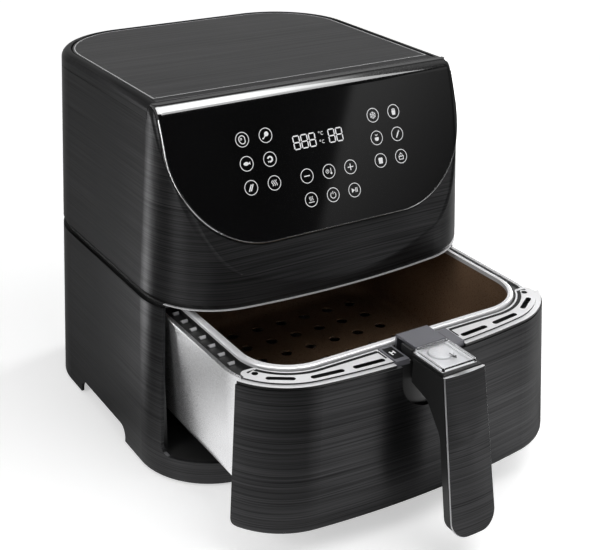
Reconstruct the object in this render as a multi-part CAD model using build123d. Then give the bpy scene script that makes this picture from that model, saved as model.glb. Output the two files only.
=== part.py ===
from build123d import *
import os
from math import atan2, cos, degrees, radians, sin, sqrt

# An air fryer with a pull-out drawer, in millimetres. The origin is on the floor, in the middle of the
# housing. The front faces -Y, +X is to the right of someone who looks at the front, and +Z is up.

# Driving dimensions of the casing
HEIGHT = 302.0
BASE_HALF_WIDTH = 157.0
TOP_HALF_WIDTH = 136.3
BASE_FRONT = 133.7
TOP_FRONT = 115.0
BACK = 148.0
FRONT_BOW = 16.5
FRONT_RADIUS = 66.0
HEAD_FRONT_RADIUS = 49.0
BACK_RADIUS = 72.0
WALL = 2.5
SEAM = 0.3

# Heights of the casing's joint lines
SHELL_BOTTOM = 2.0
LIP_TOP = 20.5
LOWER_TOP = 147.0
HEAD_BOTTOM = 151.0
STRIP_LOW = 150.25
COVER_BOTTOM = 291.0
LIP_HEIGHT = 4.0
LIP_DRAW = 2.0

# Leaning front of the head and the fascia set into it
CROWN_START = -76.0
RIM_RADIUS = 7.0
FACE_LEAN = 21.5
FACE_LOW = 160.0
FASCIA_HALF_WIDTH = 134.0
FASCIA_BOTTOM = 196.0
FASCIA_RADIUS = 74.0
FASCIA_PROUD = 1.2
FASCIA_WALL = 3.0

# Top plate
PLATE_MARGIN = 9.0
PLATE_FRONT = -71.5
PLATE_BOW = 3.0
PLATE_GROOVE = 1.2
PLATE_TOP = HEIGHT - 0.4
PLATE_THICKNESS = 2.4

# Control board, by its depth behind the leaning face and its places up that face
BOARD_DEPTH = 9.0
BOARD_THICKNESS = 1.6
BOARD_HALF_WIDTH = 84.0
BOARD_LOW = 50.0
BOARD_HIGH = 128.0
POST_X = 79.0
POST_HEIGHTS = (72.0, 122.0)
DISPLAY_X = -4.0
DISPLAY_HALF_WIDTH = 28.0
DISPLAY_LOW = 95.0
DISPLAY_HIGH = 118.0

# Front edge of the lower shell, seen from the side
MOUTH_TOP_Y = -97.0
MOUTH_LOW_Y = -102.0
MOUTH_LOW_Z = 30.0
MOUTH_RADIUS = 9.0

# Lift recesses and feet
RECESS_FRONT = -45.0
RECESS_BACK = 50.0
RECESS_TOP = 15.0
RECESS_RADIUS = 10.0
BASE_PLATE_Z = 15.5
BASE_PLATE_THICKNESS = 2.5
FOOT_PLACES = [(-118, -78), (118, -78), (-126, 72), (126, 72)]
FOOT_RADIUS = 11.0
SCREW_PLACES = [(-148.5, -55), (148.5, -55), (-148.5, 62), (148.5, 62)]
SCREW_RADIUS = 1.6

# Cord gland in the back
GLAND_X = -72.0
GLAND_Z = 46.0
GLAND_HOLE = 8.0
GLAND_BORE = 3.8

# Drawer bay
BAY_HALF_WIDTH = 141.0
BAY_BACK = 139.0
BAY_RADIUS = 64.5
BAY_TOP = LOWER_TOP - 7.0
LINER = 1.5
BAY_FLOOR_Z = 18.0
BAY_FLOOR_TOP = 20.0
RAIL_X = 108.0
RAIL_TOP = 37.6

# Hot-air chamber and blower, round one upright axis
AXIS_Y = 3.0
CHAMBER_RADIUS = 116.0
PLATE_HIGH = HEAD_BOTTOM + 8.2
PLATE_SHEET = 2.0
DOME_TOP = 198.0
SHEET = 1.2
SHAFT_RADIUS = 3.0
SHAFT_HOLE = SHAFT_RADIUS + 0.05
ELEMENT_Z = 168.0
ELEMENT_TUBE = 3.2
ELEMENT_RADIUS = 98.0
ELEMENT_STEP = 5.0
ELEMENT_HALF_TURNS = 5
SHIELD_TOP = 207.2
BRACKET_Z = 214.0
MOTOR_Z = 216.0
MOTOR_TOP = 246.0
DUCT_HALF_WIDTH = 38.0
DUCT_LOW = 164.0
DUCT_HIGH = 190.0
SENSOR_X = -75.0
SENSOR_Y = AXIS_Y + 75.0
POWER_FRONT = 42.0
POWER_BACK = 100.0

# Drawer, worked out shut and then pulled open
DRAWER_OPEN = 110.0
DRAWER_LOW = 22.5
DRAWER_HIGH = 138.5
DRAWER_GAP = 2.5
DRAWER_WALL = 3.0
PAN_LOW = 38.0
PAN_HIGH = 138.0
PAN_HALF_WIDTH = 135.5
PAN_FRONT = -126.0
PAN_BACK = 128.0
PAN_TAPER = 3.0
PAN_RADIUS = 50.0
PAN_SHEET = 1.5
PAN_FLANGE = 1.5
FRAME_Z = 134.5
TRIM_Z = DRAWER_HIGH + 0.1
TRIM_TOP = 142.0
TRIM_INSET = 0.8
TRIM_STEP = 1.2
TRIM_LEDGE = 4.0
TRIM_END_Y = -92.0
TRIM_END_RADIUS = 4.5
TRIM_END_HALF_WIDTH = 133.5
MOUTH_END_Y = -100.0
RAMP_X = 128.0
RAMP_START = -74.0
RAMP_PITCH = 14.8
RAMP_COUNT = 9
NOTCH_HALF_WIDTH = 27.0
NOTCH_LOW = 102.0
NOTCH_RADIUS = 24.0
DOCK_OUTER = 31.0
DOCK_INNER = 19.5

# Basket
RIM_HALF_WIDTH = 123.5
RIM_FRONT = -113.5
RIM_BACK = 120.0
RIM_CORNER = 42.0
RIM_LOW = 140.0
RIM_HIGH = 144.0
RIM_WIDTH = 4.3
BASKET_SHEET = 1.5
BASKET_INSET = 2.6
BASKET_TAPER = 3.0
BASKET_LOW = 56.0
HOLE_RADIUS = 5.0
HOLE_PITCH = 25.0
HOLE_COUNT = 8
RIVET_X = 8.0
RIVET_Z = 126.0
RIVET_RADIUS = 2.5

# Handle, in the drawer's open place
HANDLE_HALF_WIDTH = 18.0
HANDLE_FLARE = 2.4
HANDLE_BOW = 2.2
HANDLE_TIP_RADIUS = 14.0
HANDLE_TOP = 143.0
HANDLE_LOW = 23.0
HANDLE_TOP_Y = -288.5
HANDLE_LOW_Y = -313.0
HANDLE_COVER = 3.6
LEG_DEPTH = 10.5
ARM_BACK = -251.0
ROOT_BACK = -235.0
ROOT_LOW = 139.7
BUTTON_Y = -259.0
BUTTON_RADIUS = 9.0
BUTTON_TOP = 147.0
STEM_RADIUS = 3.0
CAP_LOW = 141.2
SPRING_TOP = 145.0
GUARD_BACK = -248.0
GUARD_FRONT = -281.0
GUARD_HALF_WIDTH = 15.5
GUARD_TOP = 148.4
GUARD_TAB = 149.6
STRAP_Z = 147.5
STRAP_HALF_WIDTH = 14.0
BUTTON_SHELF = 138.8
PIVOT_Y = -276.0
PIVOT_Z = 134.0
PIN_RADIUS = 1.5
LEVER_HALF_WIDTH = 4.0
LEVER_PAD = PIVOT_Z + 2.6


# Shared shapes

def casing_half_width(z):
    """Half width of the casing at a height."""
    return BASE_HALF_WIDTH + (TOP_HALF_WIDTH - BASE_HALF_WIDTH) * z / HEIGHT


def casing_front(z):
    """Distance from the middle to the front corners of the casing at a height."""
    return BASE_FRONT + (TOP_FRONT - BASE_FRONT) * z / HEIGHT


def casing_face(x, z):
    """Y of the bowed front face, away from its corners."""
    return -casing_front(z) - FRONT_BOW * (1 - (x / casing_half_width(z)) ** 2)


def front_radius(z):
    """Radius of the front corners, which grow tighter up the head."""
    rise = max(0.0, z - HEAD_BOTTOM) / (HEIGHT - HEAD_BOTTOM)
    return FRONT_RADIUS + (HEAD_FRONT_RADIUS - FRONT_RADIUS) * rise


def plan(z, inset=0.0):
    """Outline of the casing at a height: straight sides and back, bowed front, round corners."""
    half = casing_half_width(z) - inset
    front = casing_front(z) - inset
    back = BACK - inset
    sides = Polyline((half, -front), (half, back), (-half, back), (-half, -front))
    bow = ThreePointArc((-half, -front), (0, -front - FRONT_BOW), (half, -front))
    outline = make_face([sides, bow])
    outline = fillet(outline.vertices().filter_by(lambda v: v.Y > 0), BACK_RADIUS - inset)
    corners = outline.vertices().filter_by(lambda v: abs(v.Y + front) < 0.01)
    outline = fillet(corners, front_radius(z) - inset)
    return Pos(0, 0, z) * outline


def casing_block(low, high, inset=0.0):
    """Solid inside the casing's drafted outline, between two heights."""
    return loft([plan(low, inset), plan(high, inset)], ruled=True)


def span(x0, x1, y0, y1, z0, z1):
    """Box between two corners."""
    return Pos((x0 + x1) / 2, (y0 + y1) / 2, (z0 + z1) / 2) * Box(x1 - x0, y1 - y0, z1 - z0)


def tray(half_width, front, back, radius, z):
    """Rounded rectangle at a height."""
    return Pos(0, (front + back) / 2, z) * RectangleRounded(2 * half_width, back - front, radius)


def tray_block(half_width, front, back, radius, low, high, taper=0.0):
    """Rounded block whose lower end is smaller by the taper on each side."""
    foot = tray(half_width - taper, front + taper, back - taper, radius - taper, low)
    head = tray(half_width, front, back, radius, high)
    return loft([foot, head], ruled=True)


def side_profile(outline, half_width):
    """Outline drawn in (Y, Z), extruded to both sides of the middle plane."""
    return extrude(Plane.YZ * outline, half_width, both=True)


def rod(x, y, low, high, radius):
    """Upright cylinder between two heights."""
    return Pos(x, y, (low + high) / 2) * Cylinder(radius, high - low)


def cross_rod(x, z, front, back, radius):
    """Cylinder along Y."""
    return Pos(x, (front + back) / 2, z) * Rot(90, 0, 0) * Cylinder(radius, back - front)


def turned(points):
    """Ring turned round the blower's axis from (radius, height) points."""
    section = Plane.XZ * make_face(Polyline(*points, close=True))
    return Pos(0, AXIS_Y, 0) * revolve(section, Axis.Z)


def around_axis(shape, count):
    """Copies of a shape, spread evenly round the blower's axis."""
    return [Pos(0, AXIS_Y, 0) * Rot(0, 0, 360 * i / count) * shape for i in range(count)]


def opened(shape):
    """Moves a piece of the shut drawer to the open place."""
    return Pos(0, -DRAWER_OPEN, 0) * shape


# Head

def face_foot():
    """Y of the leaning face at its lowest point, in the middle of the casing's front."""
    return -casing_front(FACE_LOW) - FRONT_BOW


def on_face(shape):
    """Carries a shape drawn at the origin, +Y inwards and +Z upwards, onto the leaning face."""
    return Pos(0, face_foot(), FACE_LOW) * Rot(-FACE_LEAN, 0, 0) * shape


def crown_cut(inset):
    """Everything in front of the leaning face and of the roll that turns it into the flat top."""
    lean = radians(FACE_LEAN)
    depth = CROWN_START - face_foot()
    rise = HEIGHT - FACE_LOW
    roll_radius = (depth * cos(lean) - rise * sin(lean)) / (1 - sin(lean))
    radius = roll_radius - inset
    centre_z = HEIGHT - roll_radius
    half_turn = radians(90 - FACE_LEAN) / 2
    start = (CROWN_START, centre_z + radius)
    middle = (CROWN_START - radius * sin(half_turn), centre_z + radius * cos(half_turn))
    end = (CROWN_START - radius * cos(lean), centre_z + radius * sin(lean))
    foot = (end[0] - 200 * sin(lean), end[1] - 200 * cos(lean))
    far = foot[0] - 60
    roll = ThreePointArc(start, middle, end)
    rest = Polyline(end, foot, (far, foot[1]), (far, HEIGHT + 40), (CROWN_START, HEIGHT + 40), start)
    return side_profile(make_face([roll, rest]), 200)


def head_block(low, inset=0.0):
    """Solid inside the head's form, set in from its outer face, with its upper edge and crease rounded."""
    block = casing_block(low, HEIGHT - inset, inset) - crown_cut(inset)
    crease = block.edges().filter_by(
        lambda e: abs(e.center().X) < 1 and e.center().Y < face_foot() + 8 and e.center().Z > low + 0.5
    )
    return fillet(crease, RIM_RADIUS - inset)


def head_lip():
    """Band under the head that draws in to its lower edge."""
    return loft([plan(HEAD_BOTTOM, LIP_DRAW), plan(HEAD_BOTTOM + LIP_HEIGHT, 0.0)], ruled=True)


def fascia_prism(inset=0.0):
    """Room that the fascia takes, seen from the front as a wide U."""
    half = FASCIA_HALF_WIDTH - inset
    top = HEIGHT + 20
    low = FASCIA_BOTTOM + inset
    outline = Pos(0, (top + low) / 2) * Rectangle(2 * half, top - low)
    outline = fillet(outline.vertices().group_by(Axis.Y)[0], FASCIA_RADIUS - inset)
    start = Plane.XZ.offset(-CROWN_START + inset)
    return extrude(start * outline, 100)


def top_plate_outline(margin, z):
    """Outline of the plate in the top, with square front corners."""
    half = TOP_HALF_WIDTH - margin
    back = BACK - margin
    front = PLATE_FRONT - (PLATE_MARGIN - margin)
    sides = Polyline((half, front), (half, back), (-half, back), (-half, front))
    bow = ThreePointArc((-half, front), (0, front - PLATE_BOW), (half, front))
    outline = make_face([sides, bow])
    outline = fillet(outline.vertices().filter_by(lambda v: v.Y > 0), BACK_RADIUS - margin)
    return Pos(0, 0, z) * outline


def make_top_panel():
    foot = top_plate_outline(PLATE_MARGIN, PLATE_TOP - PLATE_THICKNESS)
    panel = extrude(foot, PLATE_THICKNESS)
    return chamfer(panel.faces().sort_by(Axis.Z)[-1].edges(), 0.4)


def make_top_cover():
    cover = casing_block(COVER_BOTTOM, HEIGHT)
    cover -= span(-200, 200, -300, CROWN_START + SEAM, 0, 400)
    rim = cover.faces().sort_by(Axis.Z)[-1].edges().filter_by(lambda e: e.center().Y > CROWN_START + 5)
    cover = fillet(rim, RIM_RADIUS)
    recess_depth = HEIGHT - PLATE_TOP + PLATE_THICKNESS
    cover -= extrude(top_plate_outline(PLATE_MARGIN - PLATE_GROOVE, HEIGHT - recess_depth), recess_depth + 5)
    hollow = casing_block(COVER_BOTTOM - 5, COVER_BOTTOM + 5, 8.0)
    hollow -= span(-200, 200, -300, CROWN_START + 8, 0, 400)
    return cover - hollow


def make_upper_shell():
    shell = head_block(HEAD_BOTTOM + LIP_HEIGHT) + head_lip()
    shell -= head_block(HEAD_BOTTOM - 5, WALL)
    shell -= span(-200, 200, CROWN_START - SEAM, 300, COVER_BOTTOM - SEAM, 400)
    shell -= fascia_prism(-SEAM)
    half, low, high = outlet_opening(0.0)
    return shell - span(-half, half, BACK - 20, BACK + 5, low, high)


def make_control_panel():
    block = head_block(HEAD_BOTTOM, -FASCIA_PROUD)
    block -= head_block(HEAD_BOTTOM - 5, FASCIA_WALL)
    block &= fascia_prism()
    block &= span(-200, 200, -300, 0, 0, HEIGHT)
    outer = block.edges().filter_by(
        lambda e: e.center().Z < FASCIA_BOTTOM + 40 and e.center().Y < -110 and e.length > 60
    )
    outer = outer.sort_by(lambda e: e.center().Y)[:1]
    block = chamfer(outer, FASCIA_PROUD)
    for x in (-POST_X, POST_X):
        for height in POST_HEIGHTS:
            block += on_face(cross_rod(x, height, FASCIA_WALL / 2, BOARD_DEPTH, 3))
    return block


def make_control_board():
    back = BOARD_DEPTH + BOARD_THICKNESS
    board = span(-BOARD_HALF_WIDTH, BOARD_HALF_WIDTH, BOARD_DEPTH, back, BOARD_LOW, BOARD_HIGH)
    chip = span(-20, 0, back, back + 3, BOARD_LOW + 24, BOARD_LOW + 44)
    socket = span(50, 70, back, back + 8, BOARD_LOW + 30, BOARD_LOW + 38)
    return on_face(board + chip + socket)


def make_display_module():
    front = BOARD_DEPTH - 5
    rim = 2.0
    half = DISPLAY_HALF_WIDTH - rim
    body = span(-DISPLAY_HALF_WIDTH, DISPLAY_HALF_WIDTH, front, BOARD_DEPTH, DISPLAY_LOW, DISPLAY_HIGH)
    body -= span(-half, half, front, front + 0.8, DISPLAY_LOW + rim, DISPLAY_HIGH - rim)
    return on_face(Pos(DISPLAY_X, 0, 0) * body)


# Lower casing

def mouth_profile(gap):
    """Side view of the open front, from the lip up, set forward by a gap."""
    slope = (MOUTH_TOP_Y - MOUTH_LOW_Y) / (LOWER_TOP - MOUTH_LOW_Z)
    low = LIP_TOP + gap * 0.8
    high = LOWER_TOP + 40
    top_y = MOUTH_TOP_Y + slope * 40 - gap
    low_y = MOUTH_LOW_Y - slope * (MOUTH_LOW_Z - low) - gap
    outline = make_face(Polyline((low_y, low), (top_y, high), (-300, high), (-300, low), close=True))
    inner = outline.vertices().filter_by(lambda v: abs(v.X - low_y) < 0.01)
    return fillet(inner, MOUTH_RADIUS)


def make_lower_shell():
    shell = casing_block(SHELL_BOTTOM, LOWER_TOP)
    shell -= casing_block(SHELL_BOTTOM - 5, LOWER_TOP + 5, WALL)
    shell -= side_profile(mouth_profile(0.0), 200)
    recess = make_face(
        Polyline(
            (RECESS_FRONT, -10), (RECESS_BACK, -10), (RECESS_BACK, RECESS_TOP), (RECESS_FRONT, RECESS_TOP),
            close=True,
        )
    )
    recess = fillet(recess.vertices().group_by(Axis.Y)[-1], RECESS_RADIUS)
    shell -= side_profile(recess, 200)
    for x, y in SCREW_PLACES:
        side = 1 if x > 0 else -1
        reach = casing_half_width(30) - WALL / 2
        low_x, high_x = sorted((side * (abs(x) - 4.5), side * reach))
        shell += span(low_x, high_x, y - 6, y + 6, BAY_FLOOR_TOP, 40)
        shell -= rod(x, y, BAY_FLOOR_TOP - 1, 34, SCREW_RADIUS)
    return shell - cross_rod(GLAND_X, GLAND_Z, BACK - 10, BACK + 10, GLAND_HOLE)


def make_cord_gland():
    body = cross_rod(GLAND_X, GLAND_Z, BACK - WALL - 4, BACK + 4, GLAND_HOLE - 0.05)
    flange = cross_rod(GLAND_X, GLAND_Z, BACK + 0.05, BACK + 3, 11)
    nut = cross_rod(GLAND_X, GLAND_Z, BACK - WALL - 4, BACK - WALL - 0.05, 10.5)
    bore = cross_rod(GLAND_X, GLAND_Z, BACK - 30, BACK + 30, GLAND_BORE)
    return body + flange + nut - bore


def make_seam_band():
    inset = WALL + 2.0
    band = casing_block(LOWER_TOP - 6, HEAD_BOTTOM + 6, WALL + 0.25)
    band -= casing_block(LOWER_TOP - 10, HEAD_BOTTOM + 10, inset + 1.2)
    groove = casing_block(LOWER_TOP, HEAD_BOTTOM, -5)
    groove -= casing_block(LOWER_TOP - 1, HEAD_BOTTOM + 1, inset - 0.6)
    band -= groove
    return band - span(-200, 200, -300, MOUTH_TOP_Y + 4, 0, 400)


def make_front_edge_strip():
    """Strip along the head's lower edge, over the drawer's opening only."""
    strip = casing_block(STRIP_LOW, HEAD_BOTTOM - 0.05, 0.4)
    strip -= casing_block(STRIP_LOW - 1, HEAD_BOTTOM + 1, WALL)
    return strip & span(-200, 200, -300, MOUTH_TOP_Y, 0, 400)


def make_base_plate():
    high = BASE_PLATE_Z + BASE_PLATE_THICKNESS
    plate = casing_block(BASE_PLATE_Z, high, WALL + 0.2)
    for row in range(9):
        slot = SlotOverall(70, 4)
        for x in (-50, 50):
            plate -= extrude(Pos(x, -40 + 14 * row, BASE_PLATE_Z - 1) * slot, 10)
    for x, y in SCREW_PLACES:
        plate -= rod(x, y, 0, 40, SCREW_RADIUS)
    return plate


def make_rubber_feet():
    feet = []
    for x, y in FOOT_PLACES:
        foot = Pos(x, y, 0) * extrude(Circle(FOOT_RADIUS), BASE_PLATE_Z, taper=-6)
        feet.append(chamfer(foot.faces().sort_by(Axis.Z)[0].edges(), 1.2))
    return feet


def make_base_screws():
    screws = []
    for x, y in SCREW_PLACES:
        head = rod(x, y, BASE_PLATE_Z - 2.2, BASE_PLATE_Z, 3.2)
        shank = rod(x, y, BASE_PLATE_Z, 32, SCREW_RADIUS - 0.1)
        screws.append(head + shank)
    return screws


def bay_outline(grow):
    """Room inside the bay, open to the front."""
    return tray_block(BAY_HALF_WIDTH + grow, -400, BAY_BACK + grow, BAY_RADIUS + grow, BAY_FLOOR_TOP, BAY_TOP)


def make_bay_liner():
    liner = bay_outline(LINER) - bay_outline(0.0)
    liner -= span(-200, 200, -500, MOUTH_TOP_Y + 1, 0, 400)
    liner &= casing_block(BAY_FLOOR_TOP, BAY_TOP, WALL + 0.15)
    jamb = casing_block(BAY_FLOOR_TOP, BAY_TOP, WALL + 0.15)
    jamb &= span(-200, 200, MOUTH_TOP_Y + 1, MOUTH_TOP_Y + 3, 0, 400)
    jamb -= span(-BAY_HALF_WIDTH - 0.5, BAY_HALF_WIDTH + 0.5, -300, 300, 0, 400)
    return liner + jamb


def make_bay_floor():
    floor = casing_block(BAY_FLOOR_Z, BAY_FLOOR_TOP, WALL + 0.2)
    for x, y in SCREW_PLACES:
        floor -= rod(x, y, 0, 40, SCREW_RADIUS)
    for i in range(5):
        x = -48 + 24 * i
        floor += span(x - 1.5, x + 1.5, -90, 110, BAY_FLOOR_TOP, BAY_FLOOR_TOP + 2.5)
    return floor


def make_drawer_rails():
    rails = []
    for x in (-RAIL_X, RAIL_X):
        foot = span(x - 9, x + 9, -96, 108, BAY_FLOOR_TOP, BAY_FLOOR_TOP + 3)
        web = span(x - 2, x + 2, -92, 104, BAY_FLOOR_TOP, RAIL_TOP - 2)
        tread = span(x - 6, x + 6, -94, 106, RAIL_TOP - 2.5, RAIL_TOP)
        rails.append(foot + web + tread)
    return rails


# Hot-air chamber

def make_head_plate():
    plate = casing_block(PLATE_HIGH - PLATE_SHEET, PLATE_HIGH, WALL + 0.15)
    plate -= rod(0, AXIS_Y, 0, 400, CHAMBER_RADIUS)
    return plate


def make_chamber_dome():
    outer = CHAMBER_RADIUS
    dome = turned([
        (outer + 8, PLATE_HIGH), (outer + 8, PLATE_HIGH + SHEET), (outer - 0.4, PLATE_HIGH + SHEET),
        (outer - 5, DOME_TOP), (9, DOME_TOP), (9, DOME_TOP - SHEET),
        (outer - 5 - SHEET, DOME_TOP - SHEET), (outer - 0.6 - SHEET, PLATE_HIGH),
    ])
    for x, y in element_ends():
        dome -= rod(x, y, DOME_TOP - 10, DOME_TOP + 10, ELEMENT_TUBE + 0.6)
    dome -= rod(SENSOR_X, SENSOR_Y, DOME_TOP - 10, DOME_TOP + 10, 2.8)
    window = span(-DUCT_HALF_WIDTH, DUCT_HALF_WIDTH, AXIS_Y + 80, BACK, DUCT_LOW, DUCT_HIGH)
    return dome - window


def element_ends():
    """Where the two ends of the heater's spiral lie, in plan."""
    last = ELEMENT_RADIUS - ELEMENT_STEP * ELEMENT_HALF_TURNS
    side = -1 if ELEMENT_HALF_TURNS % 2 else 1
    return [(ELEMENT_RADIUS, AXIS_Y), (side * last, AXIS_Y)]


def make_heating_element():
    arcs = []
    x = ELEMENT_RADIUS
    for i in range(ELEMENT_HALF_TURNS):
        side = 1 if i % 2 == 0 else -1
        across = 2 * (ELEMENT_RADIUS - ELEMENT_STEP * i) - ELEMENT_STEP
        end = x - side * across
        middle = ((x + end) / 2, AXIS_Y + side * across / 2, ELEMENT_Z)
        arcs.append(ThreePointArc((x, AXIS_Y, ELEMENT_Z), middle, (end, AXIS_Y, ELEMENT_Z)))
        x = end
    path = Wire(arcs)
    first = Plane(origin=path @ 0, z_dir=path % 0)
    element = sweep(first * Circle(ELEMENT_TUBE), path)
    for end in (path @ 0, path @ 1):
        element += Pos(end) * Sphere(ELEMENT_TUBE)
        element += rod(end.X, end.Y, ELEMENT_Z, DOME_TOP + 6, ELEMENT_TUBE)
    return element


def make_element_guard():
    low = PLATE_HIGH - PLATE_SHEET
    reach = CHAMBER_RADIUS - 0.2
    bars = [Pos(0, AXIS_Y, low + 0.75) * Rot(0, 0, 60 * i + 30) * Box(2 * reach, 4, 1.5) for i in range(3)]
    rings = [
        rod(0, AXIS_Y, low, low + 1.5, radius + 1.5) - rod(0, AXIS_Y, low - 1, low + 3, radius - 1.5)
        for radius in (36, 62, 88, 108)
    ]
    return bars[0] + bars[1:] + rings


def blower(disc_radius, disc_low, disc_high, blade_low, blade_high, blade_root, count, sweep_angle):
    """Disc with upright curved blades and a hub on the shaft."""
    wheel = rod(0, AXIS_Y, disc_low, disc_high, disc_radius)
    wheel += rod(0, AXIS_Y, min(disc_low, blade_low), max(disc_high, blade_high), 9)
    chord = disc_radius - blade_root - 1
    tip = blade_root + chord
    bend = ThreePointArc((blade_root, 0), (blade_root + chord / 2, chord * sweep_angle), (tip, 0))
    blade = extrude(Pos(0, 0, blade_low) * trace(bend, 1.4), blade_high - blade_low)
    for copy in around_axis(blade, count):
        wheel += copy
    return wheel - rod(0, AXIS_Y, 0, 400, SHAFT_RADIUS)


def make_convection_fan():
    return blower(64, 190, 191.4, 177, 190, 28, 10, 0.16)


def make_cooling_fan():
    return blower(52, 250, 252, 252, 264, 22, 9, 0.2)


def make_motor_shaft():
    shaft = rod(0, AXIS_Y, 175, 268, SHAFT_RADIUS)
    return chamfer(shaft.edges().filter_by(GeomType.CIRCLE), 0.6)


def make_heat_shield():
    ring = 61.0
    under = SHIELD_TOP - SHEET
    shield = turned([
        (ring - 0.5, DOME_TOP), (ring + 1, DOME_TOP), (ring + 1, under), (112, under),
        (112, SHIELD_TOP), (10, SHIELD_TOP), (10, under), (ring - 0.5, under),
    ])
    for x, y in element_ends() + [(SENSOR_X, SENSOR_Y)]:
        shield -= rod(x, y, 190, 220, 8)
    return shield


def make_motor_bracket():
    deck = span(-58, 58, AXIS_Y - 20, AXIS_Y + 20, BRACKET_Z, MOTOR_Z)
    for side in (-1, 1):
        low_x, high_x = sorted((side * 56, side * 58))
        deck += span(low_x, high_x, AXIS_Y - 20, AXIS_Y + 20, SHIELD_TOP, MOTOR_Z)
        low_x, high_x = sorted((side * 56, side * 70))
        deck += span(low_x, high_x, AXIS_Y - 20, AXIS_Y + 20, SHIELD_TOP, SHIELD_TOP + 2)
        deck -= rod(side * 42, AXIS_Y, 200, 230, 2.1)
    return deck - rod(0, AXIS_Y, 200, 230, 12)


def make_motor():
    body = rod(0, AXIS_Y, MOTOR_Z, MOTOR_TOP, 31)
    body = fillet(body.edges().filter_by(GeomType.CIRCLE).sort_by(Axis.Z)[-1:], 4)
    body += rod(0, AXIS_Y, BRACKET_Z - 3, MOTOR_Z, 11)
    body += rod(0, AXIS_Y, MOTOR_TOP, MOTOR_TOP + 3, 8)
    for side in (-1, 1):
        body += span(*sorted((side * 25, side * 48)), AXIS_Y - 7, AXIS_Y + 7, MOTOR_Z, MOTOR_Z + 3)
        body -= rod(side * 42, AXIS_Y, MOTOR_Z - 5, MOTOR_Z + 5, 2.1)
    return body - rod(0, AXIS_Y, 200, 300, SHAFT_HOLE)


def make_motor_screws():
    screws = []
    for side in (-1, 1):
        head = rod(side * 42, AXIS_Y, MOTOR_Z + 3, MOTOR_Z + 5.5, 3.8)
        shank = rod(side * 42, AXIS_Y, BRACKET_Z - 4, MOTOR_Z + 3, 2.0)
        screws.append(head + shank)
    return screws


def make_temperature_sensor():
    probe = rod(SENSOR_X, SENSOR_Y, 176, DOME_TOP + 4, 2.5)
    return probe + rod(SENSOR_X, SENSOR_Y, DOME_TOP, DOME_TOP + 2, 6)


def make_thermal_cutout():
    y = AXIS_Y - 52
    body = rod(70, y, DOME_TOP, DOME_TOP + 5, 9)
    for x in (65, 75):
        body += span(x - 2, x + 2, y - 1, y, DOME_TOP + 5, DOME_TOP + 7.5)
    return body


def make_board_tray():
    tray_low = SHIELD_TOP
    base = span(-50, 50, POWER_FRONT - 2, POWER_BACK + 2, tray_low, tray_low + 2)
    for x in (-44, 44):
        for y in (POWER_FRONT + 6, POWER_BACK - 6):
            base += rod(x, y, tray_low, tray_low + 10, 4)
    return base


def make_power_board():
    low = SHIELD_TOP + 10
    board = span(-48, 48, POWER_FRONT, POWER_BACK, low, low + 1.6)
    relay = span(-34, -14, 60, 76, low + 1.6, low + 18)
    choke = rod(8, 70, low + 1.6, low + 16, 11)
    capacitor = rod(34, 84, low + 1.6, low + 24, 6)
    return board + relay + choke + capacitor


def outlet_opening(inset):
    """Half width and heights of the air outlet in the back of the head."""
    return DUCT_HALF_WIDTH + 8 - inset, DUCT_LOW - 4 + inset, DUCT_HIGH + 4 - inset


def make_exhaust_duct():
    front = AXIS_Y + sqrt((CHAMBER_RADIUS - 1) ** 2 - DUCT_HALF_WIDTH ** 2)
    back = BACK - WALL - 2.2
    half = DUCT_HALF_WIDTH - 0.2
    duct = span(-half, half, front - 6, back, DUCT_LOW + 0.2, DUCT_HIGH - 0.2)
    hole = span(-half + 1.8, half - 1.8, 0, BACK, DUCT_LOW + 2, DUCT_HIGH - 2)
    return duct - hole


def make_air_outlet_grille():
    half, low, high = outlet_opening(0.2)
    frame = span(-half, half, BACK - WALL - 2, BACK + 0.8, low, high)
    frame -= span(-half + 4, half - 4, BACK - 20, BACK + 5, low + 3, high - 3)
    for i in range(6):
        z = low + 6 + i * (high - low - 12) / 5
        slat = Pos(0, BACK - 1.4, z) * Rot(-35, 0, 0) * Box(2 * half - 6, 4.2, 1.4)
        frame += slat
    return frame


def make_drawer_sensor():
    body = span(52, 74, BAY_BACK + LINER, BAY_BACK + LINER + 4.5, 112, 126)
    return fillet(body.edges().filter_by(Axis.Z), 1.5)


# Drawer

def drawer_side():
    """Room in front of the lower shell's front edge, less the gap round the drawer."""
    return side_profile(mouth_profile(DRAWER_GAP), 200)


def notch_prism(half, low, radius):
    """U-shaped cut behind the handle, seen from the front."""
    high = DRAWER_HIGH + 20
    outline = Pos(0, (low + high) / 2) * Rectangle(2 * half, high - low)
    outline = fillet(outline.vertices().group_by(Axis.Y)[0], radius)
    return extrude(Plane.XZ.offset(120) * outline, 60)


def make_drawer_front():
    front = casing_block(DRAWER_LOW, DRAWER_HIGH)
    front = fillet(front.faces().sort_by(Axis.Z)[0].edges().filter_by(lambda e: e.center().Y < -60), 5)
    front -= casing_block(DRAWER_LOW + 4, DRAWER_HIGH + 5, DRAWER_WALL)
    front &= drawer_side()
    front -= notch_prism(NOTCH_HALF_WIDTH, NOTCH_LOW, NOTCH_RADIUS)
    for x in (-62, 62):
        for z in (62, 100):
            boss = cross_rod(x, z, -142, PAN_FRONT, 6) & casing_block(DRAWER_LOW, DRAWER_HIGH, 1.0)
            front += boss
            front -= cross_rod(x, z, PAN_FRONT - 9, PAN_FRONT + 5, SCREW_RADIUS)
    return opened(front)


def make_front_screws():
    screws = []
    for x in (-62, 62):
        for z in (62, 100):
            inner = pan_front_inner(z) + 0.3
            head = cross_rod(x, z, inner, inner + 1.8, 3.4)
            shank = cross_rod(x, z, PAN_FRONT - 7, inner, SCREW_RADIUS - 0.1)
            screws.append(opened(head + shank))
    return screws


def pan_front_inner(z):
    """Inner face of the pan's front wall at a height."""
    return PAN_FRONT + PAN_TAPER * (PAN_HIGH - z) / (PAN_HIGH - PAN_LOW) + PAN_SHEET


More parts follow.
